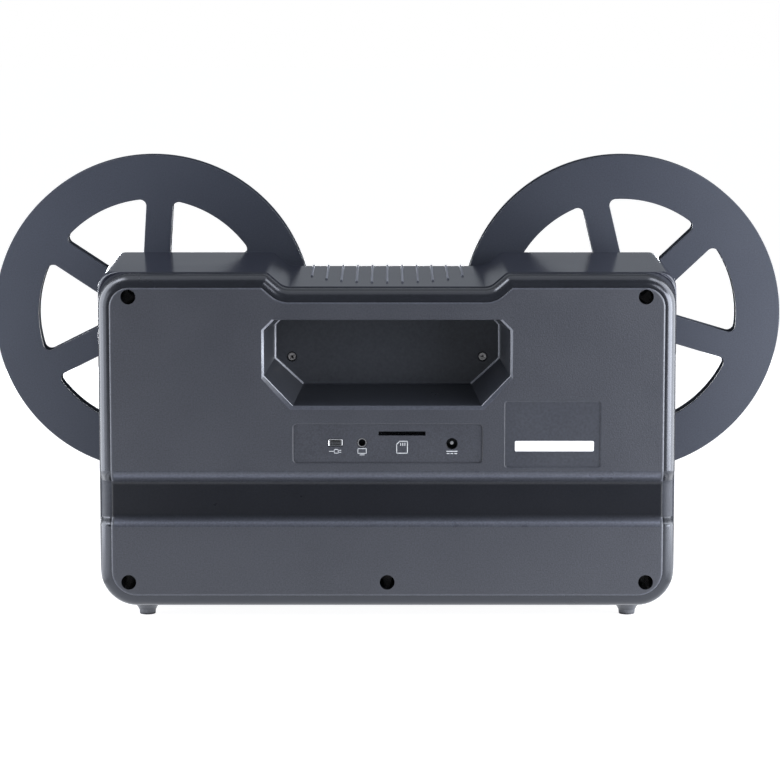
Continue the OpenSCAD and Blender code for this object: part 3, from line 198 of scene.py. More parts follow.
def case_corners(upper):
    return (
        (-HALF_W, UNDERSIDE, 20.0), (HALF_W, UNDERSIDE, 20.0),
        (HALF_W, SHOULDER, upper), (GRIP_MOUTH, SHOULDER, 5.0),
        (GRIP_FLOOR, GRIP_TOP, 8.0), (-GRIP_FLOOR, GRIP_TOP, 8.0),
        (-GRIP_MOUTH, SHOULDER, 5.0), (-HALF_W, SHOULDER, upper),
    )


COVER = case_corners(17.0)


def rounded_corner(corners, i, inset, steps):
    before = Vector(corners[i - 1][:2])
    here = Vector(corners[i][:2])
    after = Vector(corners[(i + 1) % len(corners)][:2])
    a = (here - before).normalized()
    b = (after - here).normalized()
    na = Vector((-a.y, a.x))
    nb = Vector((-b.y, b.x))
    tip = here + (na + nb) * (inset / (1 + na.dot(nb)))
    turn = 1 if a.x * b.y - a.y * b.x > 0 else -1
    r = max(0.25, corners[i][2] - turn * inset)
    angle = math.acos(max(-1.0, min(1.0, a.dot(b))))
    start = tip - a * (r * math.tan(angle / 2))
    mid = start + na * (turn * r)
    first = math.atan2(start.y - mid.y, start.x - mid.x)
    sweep = [first + turn * angle * k / steps for k in range(steps + 1)]
    return [(mid.x + r * math.cos(a), mid.y + r * math.sin(a)) for a in sweep]


def case_outline(corners, inset, heights=(), steps=12):
    ring = [(0.0, UNDERSIDE + inset)] + rounded_corner(corners, 1, inset, steps)
    ring += [(HALF_W - inset, z) for z in heights]
    for i in range(2, 8):
        ring += rounded_corner(corners, i, inset, steps)
    ring += [(inset - HALF_W, z) for z in reversed(heights)]
    return ring + rounded_corner(corners, 0, inset, steps)


def band_depth(z):
    rise = min((z - BAND_LOW) / BAND_RAMP_LOW, (BAND_HIGH - z) / BAND_RAMP_HIGH)
    return BAND_DEEP * (1 - math.cos(math.pi * max(0.0, min(1.0, rise)))) / 2


def band_narrowing(t, x, z):
    # The band is also cut a little into the sides of the cover, deepest at its outer edge.
    cut = BAND_SIDE * band_depth(z) / BAND_DEEP
    return math.copysign(cut * max(0.0, min(1.0, (BEAD_INNER - t) / BEAD_WIDE)), x)


def ring_faces(first, second, n):
    return [(first + i, first + (i + 1) % n, second + (i + 1) % n, second + i) for i in range(n)]


def make_piece(name, points, faces, finishes, zones=None):
    mesh = bpy.data.meshes.new(name)
    mesh.from_pydata([spot(*p) for p in points], [], faces)
    for finish in finishes:
        mesh.materials.append(finish)
    if zones:
        mesh.polygons.foreach_set("material_index", zones)
    obj = bpy.data.objects.new(name, mesh)
    scene.collection.objects.link(obj)
    return obj


def settle(obj, sharp=None):
    deps = bpy.context.evaluated_depsgraph_get()
    mesh = bpy.data.meshes.new_from_object(obj.evaluated_get(deps), depsgraph=deps)
    obj.modifiers.clear()
    mesh.name = obj.name
    obj.data = mesh
    if sharp:
        mesh.polygons.foreach_set("use_smooth", [True] * len(mesh.polygons))
        mesh.set_sharp_from_angle(angle=math.radians(sharp))
    return obj


def combine(obj, tool, operation):
    step = obj.modifiers.new(operation.lower(), "BOOLEAN")
    step.operation = operation
    step.object = tool
    step.solver = "EXACT"
    step.material_mode = "TRANSFER"
    settle(obj)
    bpy.data.objects.remove(tool)


def soften(obj, width, segments=2, angle=40, sharp=35):
    if width:
        edge = obj.modifiers.new("edge", "BEVEL")
        edge.width = width * MM
        edge.segments = segments
        edge.limit_method = "ANGLE"
        edge.angle_limit = math.radians(angle)
    settle(obj, sharp)
    even = obj.modifiers.new("even", "WEIGHTED_NORMAL")
    even.keep_sharp = True
    return settle(obj)


class Mould:
    # Gathers closed forms, in millimetres, that go into one mesh.
    def __init__(self):
        self.points = []
        self.faces = []

    def add(self, points, faces):
        n = len(self.points)
        self.points += points
        self.faces += [tuple(n + i for i in f) for f in faces]

    def loft(self, rings):
        n = len(rings[0])
        faces = [tuple(reversed(range(n)))]
        for k in range(len(rings) - 1):
            faces += ring_faces(k * n, (k + 1) * n, n)
        faces.append(tuple(range((len(rings) - 1) * n, len(rings) * n)))
        self.add([p for r in rings for p in r], [tuple(reversed(f)) for f in faces])

    def stack(self, sections):
        # Outlines, each at its own depth, skinned over and capped at both ends.
        self.loft([[(x, d, z) for x, z in outline] for outline, d in sections])

    def prism(self, outline, d0, d1):
        self.stack([(outline, d0), (outline, d1)])

    def tube(self, sections):
        # The same with the last outline joined back to the first, so that it closes into a ring.
        n = len(sections[0][0])
        m = len(sections)
        points = [(x, d, z) for outline, d in sections for x, z in outline]
        self.add(points, [f for k in range(m) for f in ring_faces(k * n, (k + 1) % m * n, n)])

    def piece(self, name, finishes):
        obj = make_piece(name, self.points, self.faces, finishes)
        work = bmesh.new()
        work.from_mesh(obj.data)
        bmesh.ops.recalc_face_normals(work, faces=work.faces)
        work.to_mesh(obj.data)
        work.free()
        return obj


def circle_section(x, z, r, steps=40):
    turn = [math.tau * k / steps for k in range(steps)]
    return [(x + r * math.cos(a), z + r * math.sin(a)) for a in turn]


def box_section(x, z, w, h, r, steps=6):
    pts = []
    for sx, sz, a0 in ((1, 1, 0), (-1, 1, 90), (-1, -1, 180), (1, -1, 270)):
        for k in range(steps + 1):
            a = math.radians(a0 + 90 * k / steps)
            pts.append((x + sx * (w / 2 - r) + r * math.cos(a), z + sz * (h / 2 - r) + r * math.sin(a)))
    return pts


def pocket_section(t, grow=0.0):
    # The mouth of the hand pocket, drawn in by its draft t: the floor rises faster than the sides close.
    w = POCKET_HALF - t + grow
    low = POCKET_LOW + 1.46 * t - grow
    high = POCKET_HIGH - 0.2 * t + grow
    bevel = 15.9 - 0.4 * t
    corner = POCKET_CORNER
    return [
        (-w + 15, low), (w - 15, low), (w, low + bevel), (w, high - corner),
        (w - corner, high), (corner - w, high), (-w, high - corner), (-w, low + bevel),
    ]


def node_group(name, inputs, outputs):
    group = bpy.data.node_groups.new(name, "ShaderNodeTree")
    for label, value in inputs:
        socket = group.interface.new_socket(label, in_out="INPUT", socket_type="NodeSocketFloat")
        socket.default_value = value
    for label in outputs:
        group.interface.new_socket(label, in_out="OUTPUT", socket_type="NodeSocketFloat")
    return group, group.nodes.new("NodeGroupInput"), group.nodes.new("NodeGroupOutput")


def ranged(group, value, low, high, to_low, to_high):
    links = {0: value, 1: low, 2: high, 3: to_low, 4: to_high}
    return wire(group, "ShaderNodeMapRange", links).outputs[0]


# Grain left by the mould: pits of the given count per metre, and a broad unevenness over them.
grain, grain_in, grain_out = node_group(
    "mould_grain", (("Pits", 900.0), ("Patches", 14.0), ("Broad", 0.3)), ("Height", "Tone", "Gloss"))
coords = wire(grain, "ShaderNodeTexCoord", {}).outputs["Object"]
pit_scale = grain_in.outputs["Pits"]
patch_scale = grain_in.outputs["Patches"]
pits = wire(grain, "ShaderNodeTexNoise", {"Vector": coords, "Scale": pit_scale, "Detail": 2.0})
cells = wire(grain, "ShaderNodeTexVoronoi", {"Vector": coords, "Scale": pit_scale})
patches = wire(grain, "ShaderNodeTexNoise", {"Vector": coords, "Scale": patch_scale, "Detail": 5.0})
fine = ranged(grain, pits.outputs["Fac"], 0.28, 0.72, 0.0, 1.0)
wide = ranged(grain, patches.outputs["Fac"], 0.3, 0.7, 0.0, 1.0)
blend_tone = wire(grain, "ShaderNodeMix", {0: grain_in.outputs["Broad"], 2: fine, 3: wide})
wire_out = {
    "Height": sums(grain, "MULTIPLY_ADD", cells.outputs["Distance"], 0.5, pits.outputs["Fac"]),
    "Tone": blend_tone.outputs[0],
    "Gloss": ranged(grain, patches.outputs["Fac"], 0.3, 0.7, -1.0, 1.0),
}
for label, source in wire_out.items():
    grain.links.new(source, grain_out.inputs[label])


def shader(finish):
    return finish.node_tree.nodes["Principled BSDF"]


def moulded(name, dark, light, rough, swing, pits_per_m, bump, patches_per_m=14.0, broad=0.3):
    # Plastic straight from the mould: tone between dark and light, roughness swinging about its mean.
    finish = bpy.data.materials.new(name)
    finish.use_nodes = True
    tree = finish.node_tree
    skin = shader(finish)
    surface = wire(tree, "ShaderNodeGroup", {
        "Pits": pits_per_m, "Patches": patches_per_m, "Broad": broad}, node_tree=grain)
    tone = wire(tree, "ShaderNodeMix", {
        0: surface.outputs["Tone"], 6: (*dark, 1.0), 7: (*light, 1.0)}, data_type="RGBA")
    tree.links.new(tone.outputs[2], skin.inputs["Base Color"])
    sheen = ranged(tree, surface.outputs["Gloss"], -1.0, 1.0, rough - swing, rough + swing)
    tree.links.new(sheen, skin.inputs["Roughness"])
    relief = wire(tree, "ShaderNodeBump", {
        "Strength": 1.0, "Distance": bump * MM, "Height": surface.outputs["Height"]})
    tree.links.new(relief.outputs["Normal"], skin.inputs["Normal"])
    return finish


panel_grained = moulded(
    "panel_grained", (0.022, 0.0235, 0.0305), (0.041, 0.0436, 0.0557), 0.5, 0.04, 1300.0, 0.07, 40.0, 0.12)
# Painted highlight: the rounded edge of the raised panel and the upper and lower rims of the pocket mouth
# are coloured lighter than the panel.
panel_lip_painted_highlight = moulded(
    "panel_lip_painted_highlight", (0.045, 0.0478, 0.061), (0.072, 0.0762, 0.095), 0.34, 0.04, 900.0, 0.03, 40.0, 0.12)
border_smooth = moulded(
    "border_smooth", (0.0045, 0.0049, 0.0068), (0.0085, 0.0092, 0.0125), 0.25, 0.03, 500.0, 0.003)
# Painted highlights: light colours on the pocket's mouth rims and on the crease round its floor, the
# brightest on the slanting lower rims and the crease.
rim_painted_highlight = moulded("rim_painted_highlight", (0.12, 0.124, 0.142), (0.17, 0.175, 0.2), 0.24, 0.03, 500.0, 0.003)
rim_bright_painted_highlight = moulded("rim_bright_painted_highlight", (0.27, 0.277, 0.31), (0.36, 0.37, 0.41), 0.24, 0.03, 500.0, 0.003)
for finish in (border_smooth, rim_painted_highlight, rim_bright_painted_highlight):
    shader(finish).inputs["Specular IOR Level"].default_value = 0.7
    shader(finish).inputs["Specular Tint"].default_value = (0.88, 0.91, 1.0, 1.0)
band_end = moulded("band_end", (0.027, 0.0287, 0.036), (0.039, 0.0415, 0.051), 0.6, 0.03, 700.0, 0.004)
shader(band_end).inputs["Specular IOR Level"].default_value = 0.25
# The band's colour is painted by depth: a painted highlight where the lips roll over, and painted shade
# darkening towards the smooth floor of the band.
band_painted_light = moulded(
    "band_painted_light", (0.8, 0.8, 0.8), (1.2, 1.2, 1.2), 0.3, 0.03, 900.0, 0.008, 40.0, 0.12)
tree = band_painted_light.node_tree
skin = shader(band_painted_light)
skin.inputs["Specular IOR Level"].default_value = 0.2
place = wire(tree, "ShaderNodeTexCoord", {})
split = wire(tree, "ShaderNodeSeparateXYZ", {0: place.outputs["Object"]})
sunk = ranged(tree, split.outputs["Y"], REAR * MM, (REAR + BAND_DEEP) * MM, 0.0, 1.0)
shade = wire(tree, "ShaderNodeValToRGB", {0: sunk})
for depth, tone in ((0.9, 0.078), (1.9, 0.106), (3.2, 0.06), (4.5, 0.038), (5.5, 0.024), (6.05, 0.015)):
    shade.color_ramp.elements.new(depth / BAND_DEEP).color = (tone, 1.055 * tone, 1.3 * tone, 1.0)
shade.color_ramp.elements[0].color = (0.042, 0.0446, 0.056, 1.0)
shade.color_ramp.elements[-1].color = (0.008, 0.0088, 0.012, 1.0)
grain_tone = skin.inputs["Base Color"].links[0].from_socket
grained = wire(tree, "ShaderNodeMix", {
    0: 1.0, 6: shade.outputs[0], 7: grain_tone}, data_type="RGBA", blend_type="MULTIPLY")
tree.links.new(grained.outputs[2], skin.inputs["Base Color"])
label_satin = moulded(
    "label_satin", (0.026, 0.028, 0.036), (0.04, 0.043, 0.0545), 0.4, 0.04, 700.0, 0.02, 40.0, 0.12)
pocket_smooth = moulded(
    "pocket_smooth", (0.02, 0.022, 0.028), (0.033, 0.036, 0.0445), 0.3, 0.04, 700.0, 0.008)
# Painted light: a lighter copy of pocket_smooth for the pocket's right-hand walls, standing in for the
# light that falls on them.
pocket_right_painted_light = moulded(
    "pocket_right_painted_light", (0.03, 0.0325, 0.0405), (0.045, 0.0487, 0.06), 0.3, 0.04, 700.0, 0.008)

ramp_steps = 12
climb = [k / ramp_steps for k in range(ramp_steps + 1)]
heights = [BAND_LOW + BAND_RAMP_LOW * c for c in climb]
heights += [BAND_HIGH - BAND_RAMP_HIGH * c for c in reversed(climb)]
profile = [(8.2, 0.0, 1), (7.62, 0.03, 1), (7.25, 0.13, 1), (7.0, 0.3, 1), (6.88, 0.52, 1)]
profile += [(6.84, 0.72, 1), (6.74, PANEL_STEP, 1)]
for k in range(15):
    a = math.pi / 2 * k / 14
    inset = 0.5 + 6.1 * (1 - math.sin(a))
    profile.append((inset, PANEL_STEP + BEAD_R * (1 - math.cos(a)), 1 - 0.08 * k / 14))
profile += [(0.5, 13.0, 0), (0.56, 13.2, 0), (0.75, COVER_END, 0), (4.0, COVER_END, 0)]
rings = []
for t, d, follow in profile:
    line = case_outline(COVER, t, heights)
    rings.append([(x - band_narrowing(t, x, z), d + follow * band_depth(z), z) for x, z in line])
n = len(rings[0])
corner_points = 13
right = 1 + corner_points
left = n - corner_points - 1
levels = len(heights)
faces = [tuple([0] + list(range(n - 1, left - 1, -1)) + list(range(right, 0, -1)))]
zones = [0]
for k in range(levels - 1):
    faces.append((right + k, left - k, left - k - 1, right + k + 1))
    zones.append(2)
faces.append(tuple(range(left - levels + 1, right + levels - 2, -1)))
zones.append(0)
lowest = [j for j in range(levels - 1) if band_depth((heights[j] + heights[j + 1]) / 2) > 0.85 * BAND_DEEP]
banded = {right + j for j in lowest} | {left - j - 1 for j in lowest}
for k in range(len(rings) - 1):
    faces += ring_faces(k * n, (k + 1) * n, n)
    # Zone 5, the rounded edge of the raised panel, is painted lighter than the panel as a highlight.
    edge = 0 if k < 1 else 5 if k < 5 else 1
    sunk_edge = 2 if k < 5 else 4
    zones += [sunk_edge if i in banded else edge for i in range(n)]
faces.append(tuple(range((len(rings) - 1) * n, len(rings) * n)))
zones.append(1)
cover = make_piece("rear_cover_moulding", [p for r in rings for p in r], faces,
                   (panel_grained, border_smooth, band_painted_light, pocket_smooth, band_end, panel_lip_painted_highlight), zones)
tidy = bmesh.new()
tidy.from_mesh(cover.data)
bmesh.ops.remove_doubles(tidy, verts=tidy.verts, dist=1e-7)
bmesh.ops.recalc_face_normals(tidy, faces=tidy.faces)
tidy.to_mesh(cover.data)
tidy.free()

inner = Mould()
inner.stack([(pocket_section(t, 2.5), d) for t, d in ((1.0, 6.0), (6.0, 38.4))])
for x, z in WELLS:
    inner.prism(circle_section(x, z, 5.9), 6.0, 52.0)
combine(cover, inner.piece("pocket_tub", (pocket_smooth,)), "UNION")

hollow = Mould()
mouth = [(-1.05, -1.0), (-1.05, 0.0), (-0.93, 0.03), (-0.82, 0.1), (0.2, 0.78), (0.34, 0.92), (0.42, 1.2)]
for k in range(6):
    a = math.pi / 2 * k / 5
    mouth.append((4.9 + 1.2 * (1 - math.cos(a)), POCKET_DEEP - 1.2 + 1.2 * math.sin(a)))
hollow.stack([(pocket_section(t), d) for t, d in mouth])
cutter = hollow.piece("pocket_hollow", (pocket_smooth, rim_painted_highlight, panel_lip_painted_highlight, rim_bright_painted_highlight, pocket_right_painted_light))
# Painted highlights: the rims of the mouth and the crease round the pocket floor take lighter colours than
# the moulding, standing in for light caught on those edges.
for face in cutter.data.polygons:
    depth = face.center.y / MM - REAR
    upright = abs(face.normal.x) > 0.3
    slanting = upright and face.normal.z < -0.3
    if depth < 1.1:
        face.material_index = 3 if slanting else 1 if upright else 2
    elif POCKET_DEEP - 1.2 < depth < POCKET_DEEP - 0.05 and upright:
        face.material_index = 3
    # The right-hand walls take a lighter colour, painted light standing in for the light that falls on
    # them.
    elif depth < POCKET_DEEP - 1.2 and upright and face.center.x > 0:
        face.material_index = 4
combine(cover, cutter, "DIFFERENCE")

for x, z, w, h, r, deep, floor_finish in ((0.4, 94.75, 98.8, 20.3, 2.0, 1.0, panel_grained),
                                          (86.4, 99.6, 49.6, 34.4, 1.2, 0.5, label_satin)):
    recess = Mould()
    steps = [(0.9, -1.0), (0.9, 0.0), (0.2, 0.35 * deep), (0.0, 0.6 * deep), (0.0, deep)]
    recess.stack([(box_section(x, z, w + 2 * g, h + 2 * g, r + g), d) for g, d in steps])
    combine(cover, recess.piece("shallow_recess", (floor_finish,)), "DIFFERENCE")

holes = Mould()
for x, z in WELLS:
    holes.prism(circle_section(x, z, WELL_R), -1.0, 50.0)
for x, z in GRIP_SCREWS:
    holes.prism(circle_section(x, z, 2.7), 35.0, 38.2)
holes.prism(box_section(*DATA_SOCKET, 7.9, 4.1, 0.4), -1.0, 12.0)
holes.prism(circle_section(*PICTURE_JACK, 2.65), -1.0, 12.0)
holes.prism(circle_section(*POWER_INLET, 3.0), -1.0, 12.0)
holes.prism(box_section(*CARD_SLOT, 24.6, 2.2, 0.3), -1.0, 12.0)
combine(cover, holes.piece("round_holes", (border_smooth,)), "DIFFERENCE")
soften(cover, 0.32, 2, 42)
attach(cover, "case")
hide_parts("rear_cover")

# The front casing: a deep glossy tub moulded in the same charcoal, with tighter upper corners than the
# cover. Its top shows between the reels and the cover and has a sunk carrying grip in the middle.
SPINDLE_X = 130.8
SPINDLE_Z = 146.5
SCREEN_Z = 141.5
KEY_Z = 109.9
KEY_PITCH = 13.0
ROLLERS = (
    ("takeup_outer", -78.0, 64.4033), ("takeup_inner", -53.0, 57.0),
    ("supply_inner", 53.0, 57.0), ("supply_outer", 78.0, 64.4033),
)
casing_edge = moulded(
    "casing_edge", (0.03, 0.0322, 0.042), (0.048, 0.0514, 0.066), 0.4, 0.04, 900.0, 0.01)
casing_gloss = moulded(
    "casing_gloss", (0.009, 0.0098, 0.0155), (0.014, 0.0152, 0.024), 0.14, 0.02, 420.0, 0.002)
shader(casing_gloss).inputs["Specular Tint"].default_value = (0.88, 0.91, 1.0, 1.0)
JOINT = 14.0
FACE = 122.0
NEAR_EASE = 5.0
FACE_EDGE = 4.0
CASING = case_corners(7.5)
wall_start = JOINT + NEAR_EASE
wall_end = FACE - FACE_EDGE
profile = [(COVER, 3.0, FACE - 3.0), (COVER, 3.0, JOINT)]
for k in range(9):
    a = math.pi / 2 * k / 8
    near = case_corners(7.5 + 6.5 * (1 - math.sin(a)))
    profile.append((near, max(0.0, 0.34 - 0.2 * k), JOINT + NEAR_EASE * (1 - math.cos(a))))
profile += [(CASING, 0.0, wall_start + (wall_end - wall_start) * k / 4) for k in range(1, 4)]
for k in range(9):
    a = math.pi / 2 * k / 8
    profile.append((CASING, FACE_EDGE * (1 - math.cos(a)), wall_end + FACE_EDGE * math.sin(a)))
shell = Mould()
shell.stack([(case_outline(corners, t), d) for corners, t, d in profile])
casing = shell.piece("front_casing_moulding", (casing_gloss, casing_edge))
for face in casing.data.polygons:
    face.material_index = 1 if face.center.y / MM - REAR < JOINT + 0.02 else 0
bosses = Mould()
collar = [(12.6, 121.0), (12.6, 122.0), (11.7, 122.2), (11.2, 122.7), (11.0, 123.5)]
collar += [(11.0, 127.7), (10.7, 128.0)]
post = [(7.2, 121.0), (7.2, 122.0), (6.4, 122.3), (5.95, 122.9), (5.8, 123.8), (5.8, 140.4), (5.5, 140.8)]
raised = [(-SPINDLE_X, SPINDLE_Z, collar), (SPINDLE_X, SPINDLE_Z, collar)]
raised += [(x, z, post) for name, x, z in ROLLERS]
for x, z, turned in raised:
    bosses.stack([(circle_section(x, z, r), d) for r, d in turned])
combine(casing, bosses.piece("collars_and_posts", (casing_gloss,)), "UNION")
openings = Mould()
for x in (-SPINDLE_X, SPINDLE_X):
    openings.prism(circle_section(x, SPINDLE_Z, 7.02), 115.0, 130.0)
openings.prism(box_section(0.0, SCREEN_Z, 56.4, 44.4, 1.0), 115.0, 130.0)
for i in range(6):
    openings.prism(circle_section((i - 2.5) * KEY_PITCH, KEY_Z, 4.45), 115.0, 130.0)
combine(casing, openings.piece("screen_and_key_holes", (casing_gloss,)), "DIFFERENCE")
soften(casing, 0.3, 2, 42)
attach(casing, "case")
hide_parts("front_casing")

# Finger ribs on the carrying grip: low half-round bars, each longer the nearer it lies to the middle,
# moulded in one with the top of the casing.


def node_tree(name, inputs):
    tree = bpy.data.node_groups.new(name, "GeometryNodeTree")
    tree.interface.new_socket("Geometry", in_out="INPUT", socket_type="NodeSocketGeometry")
    for label, kind in inputs:
        tree.interface.new_socket(label, in_out="INPUT", socket_type="NodeSocket" + kind)
    tree.interface.new_socket("Geometry", in_out="OUTPUT", socket_type="NodeSocketGeometry")
    return tree, tree.nodes.new("NodeGroupInput"), tree.nodes.new("NodeGroupOutput")


def finish_tree(tree, shape, given, out):
    real = wire(tree, "GeometryNodeRealizeInstances", {"Geometry": shape})
    coat = wire(tree, "GeometryNodeSetMaterial", {
        "Geometry": real.outputs[0], "Material": given.outputs["Finish"]})
    tree.links.new(coat.outputs[0], out.inputs[0])


def grown(name, places, tree, values, sharp=35):
    obj = make_piece(name, places, [], ())
    maker = obj.modifiers.new("maker", "NODES")
    maker.node_group = tree
    names = {item.name: item.identifier for item in tree.interface.items_tree if item.in_out == "INPUT"}
    for label, value in values.items():
        maker[names[label]] = value
    return settle(obj, sharp)


ribs, given, out = node_tree("grip_ribs", (
    ("Count", "Int"), ("Pitch", "Float"), ("Width", "Float"), ("Height", "Float"), ("Front", "Float"),
    ("Bend", "Float"), ("Reach", "Float"), ("Top", "Float"), ("Finish", "Material")))
middle = sums(ribs, "MULTIPLY_ADD", given.outputs["Count"], 0.5, -0.5)
order = sums(ribs, "SUBTRACT", wire(ribs, "GeometryNodeInputIndex", {}).outputs[0], middle)
share = sums(ribs, "DIVIDE", order, sums(ribs, "ADD", middle, 0.25))
bow = sums(ribs, "SQRT", sums(ribs, "SUBTRACT", 1.0, sums(ribs, "MULTIPLY", share, share)))
start = sums(ribs, "SUBTRACT", given.outputs["Bend"], sums(ribs, "MULTIPLY", given.outputs["Reach"], bow))
length = sums(ribs, "SUBTRACT", given.outputs["Front"], start)
centre = sums(ribs, "MULTIPLY", sums(ribs, "ADD", given.outputs["Front"], start), 0.5)
across = sums(ribs, "MULTIPLY", order, given.outputs["Pitch"])
line = wire(ribs, "GeometryNodeMeshLine", {"Count": given.outputs["Count"], "Offset": (0.0, 0.0, 0.0)})
place = wire(ribs, "ShaderNodeCombineXYZ", {0: across, 1: centre, 2: given.outputs["Top"]})
set_out = wire(ribs, "GeometryNodeSetPosition", {"Geometry": line.outputs[0], "Position": place.outputs[0]})
bar = wire(ribs, "GeometryNodeMeshCylinder", {"Vertices": 20, "Radius": 1.0, "Depth": 1.0})
half_width = sums(ribs, "MULTIPLY", given.outputs["Width"], 0.5)
stretch = wire(ribs, "ShaderNodeCombineXYZ", {0: half_width, 1: given.outputs["Height"], 2: length})
bars = wire(ribs, "GeometryNodeInstanceOnPoints", {
    "Points": set_out.outputs[0], "Instance": bar.outputs["Mesh"], "Rotation": (math.pi / 2, 0.0, 0.0),
    "Scale": stretch.outputs[0]})
finish_tree(ribs, bars.outputs[0], given, out)
# The ribs are painted much lighter than the casing top, a painted highlight standing in for light caught
# along each bar and lifting the shade at its ends.
rib_painted_highlight = moulded("rib_painted_highlight", (0.1, 0.106, 0.13), (0.135, 0.142, 0.172), 0.4, 0.03, 420.0, 0.002)
grip_ribs = grown("grip_ribs", [(0.0, 60.0, GRIP_TOP)], ribs, {
    "Count": 11, "Pitch": 8.1 * MM, "Width": 1.3 * MM, "Height": 0.75 * MM, "Front": (REAR + 117.6) * MM,
    "Bend": (REAR + 78.0) * MM, "Reach": 45.0 * MM, "Top": GRIP_TOP * MM, "Finish": rib_painted_highlight})
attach(grip_ribs, "case")

# Four feet: short flared cones moulded under the casing and the deck. A grey rubber button with a stem
# is pushed into each cone from below and stands on the table.
foot_satin = moulded("foot_satin", (0.042, 0.044, 0.052), (0.062, 0.065, 0.076), 0.36, 0.05, 900.0, 0.01)
rubber_soft = moulded("rubber_soft", (0.06, 0.062, 0.07), (0.1, 0.103, 0.115), 0.7, 0.06, 1800.0, 0.03)


def turned_up(mould, x, d, profile):
    # A round form about a vertical axis, from (radius, height) pairs.
    mould.loft([[(px, pd, z) for px, pd in circle_section(x, d, r)] for r, z in profile])


cones = Mould()
pads = Mould()
cone = [(4.4, 2.5), (4.62, 2.6), (4.75, 2.85), (4.95, 3.4), (5.4, 4.1), (5.95, 4.7), (6.5, 5.3), (7.0, 6.1)]
pad = [(3.7, 0.0), (4.05, 0.1), (4.25, 0.4), (4.38, 2.3), (4.38, 3.2)]
FEET = ((-127.5, 22.0, 8.0), (127.5, 22.0, 8.0), (-86.0, 146.0, 9.0), (86.0, 146.0, 9.0))
for x, d, top in FEET:
    turned_up(cones, x, d, cone + [(7.2, 6.9), (7.2, top)])
    turned_up(pads, x, d, pad)
feet_cones = soften(cones.piece("foot_cones", (foot_satin,)), 0.0)
feet_pads = soften(pads.piece("foot_pads", (rubber_soft,)), 0.0)
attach(feet_cones, "case")
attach(feet_pads, "case")
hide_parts("rubber_feet")

# Two film reels: each is a pair of pierced discs in slate-grey plastic with six spokes, joined by a drum
# on which the film winds, and pushed onto its spindle.
REEL_R = 88.9
reel_slate = moulded(
    "reel_slate", (0.0185, 0.0212, 0.0302), (0.031, 0.0354, 0.0495), 0.46, 0.05, 1300.0, 0.02, 9.0)
shader(reel_slate).inputs["Specular IOR Level"].default_value = 0.32


def window_loop(rim, hub, half, r, angle, steps=10):
    a = math.asin((half + r) / (rim - r))
    b = math.asin((half + r) / (hub + r))
    outer = Vector((math.cos(a), math.sin(a))) * (rim - r)
    near = Vector((math.cos(b), math.sin(b))) * (hub + r)
    side = []
    for k in range(steps + 1):
        t = math.radians(30) + (a - math.radians(30)) * k / steps
        side.append(Vector((math.cos(t), math.sin(t))) * rim)
    for k in range(1, steps + 1):
        t = a - (a + math.pi / 2) * k / steps
        side.append(outer + Vector((math.cos(t), math.sin(t))) * r)
    for k in range(steps):
        t = math.pi * 1.5 - (math.pi / 2 - b) * k / steps
        side.append(near + Vector((math.cos(t), math.sin(t))) * r)
    for k in range(5):
        t = b + (math.radians(30) - b) * k / 4
        side.append(Vector((math.cos(t), math.sin(t))) * hub)
    over = [Vector((p.x * 0.5 + p.y * 0.75 ** 0.5, p.x * 0.75 ** 0.5 - p.y * 0.5)) for p in side[1:-1]]
    turn = Matrix.Rotation(math.radians(angle), 2)
    return [turn @ p for p in side + over[::-1]]


def pierced_disc(name, loops, x, d0, d1, z, edge, finish):
    # A flat plate cut along closed loops, rounded along every edge by the given radius.
    drawing = bpy.data.curves.new(name, "CURVE")
    drawing.dimensions = "2D"
    drawing.fill_mode = "BOTH"
    drawing.extrude = ((d1 - d0) / 2 - edge) * MM
    drawing.bevel_depth = edge * MM
    drawing.bevel_resolution = 2
    drawing.offset = -edge * MM
    for loop in loops:
        spline = drawing.splines.new("POLY")
        spline.points.add(len(loop) - 1)
        for point, at in zip(spline.points, loop):
            point.co = (at[0] * MM, at[1] * MM, 0.0, 1.0)
        spline.use_cyclic_u = True
    flat = bpy.data.objects.new(name + "_drawing", drawing)
    scene.collection.objects.link(flat)
    deps = bpy.context.evaluated_depsgraph_get()
    mesh = bpy.data.meshes.new_from_object(flat.evaluated_get(deps), depsgraph=deps)
    bpy.data.objects.remove(flat)
    mesh.transform(Matrix.Translation(spot(x, (d0 + d1) / 2, z)) @ Matrix.Rotation(math.pi / 2, 4, "X"))
    mesh.name = name
    mesh.materials.clear()
    mesh.materials.append(finish)
    obj = bpy.data.objects.new(name, mesh)
    scene.collection.objects.link(obj)
    work = bmesh.new()
    work.from_mesh(mesh)
    bmesh.ops.remove_doubles(work, verts=work.verts, dist=1e-6)
    bmesh.ops.recalc_face_normals(work, faces=work.faces)
    work.to_mesh(mesh)
    work.free()
    return soften(obj, 0.0)


def turned_along(mould, x, z, profile, steps=64):
    # A round form along the depth, from (radius, depth) pairs, closed into a ring.
    mould.tube([(circle_section(x, z, r, steps), d) for r, d in profile])


def joined(name, parts):
    mesh = bmesh.new()
    for part in parts:
        mesh.from_mesh(part.data)
    finishes = list(parts[0].data.materials)
    for part in parts:
        bpy.data.objects.remove(part)
    whole = bpy.data.meshes.new(name)
    mesh.to_mesh(whole)
    mesh.free()
    for finish in finishes:
        whole.materials.append(finish)
    obj = bpy.data.objects.new(name, whole)
    scene.collection.objects.link(obj)
    return obj


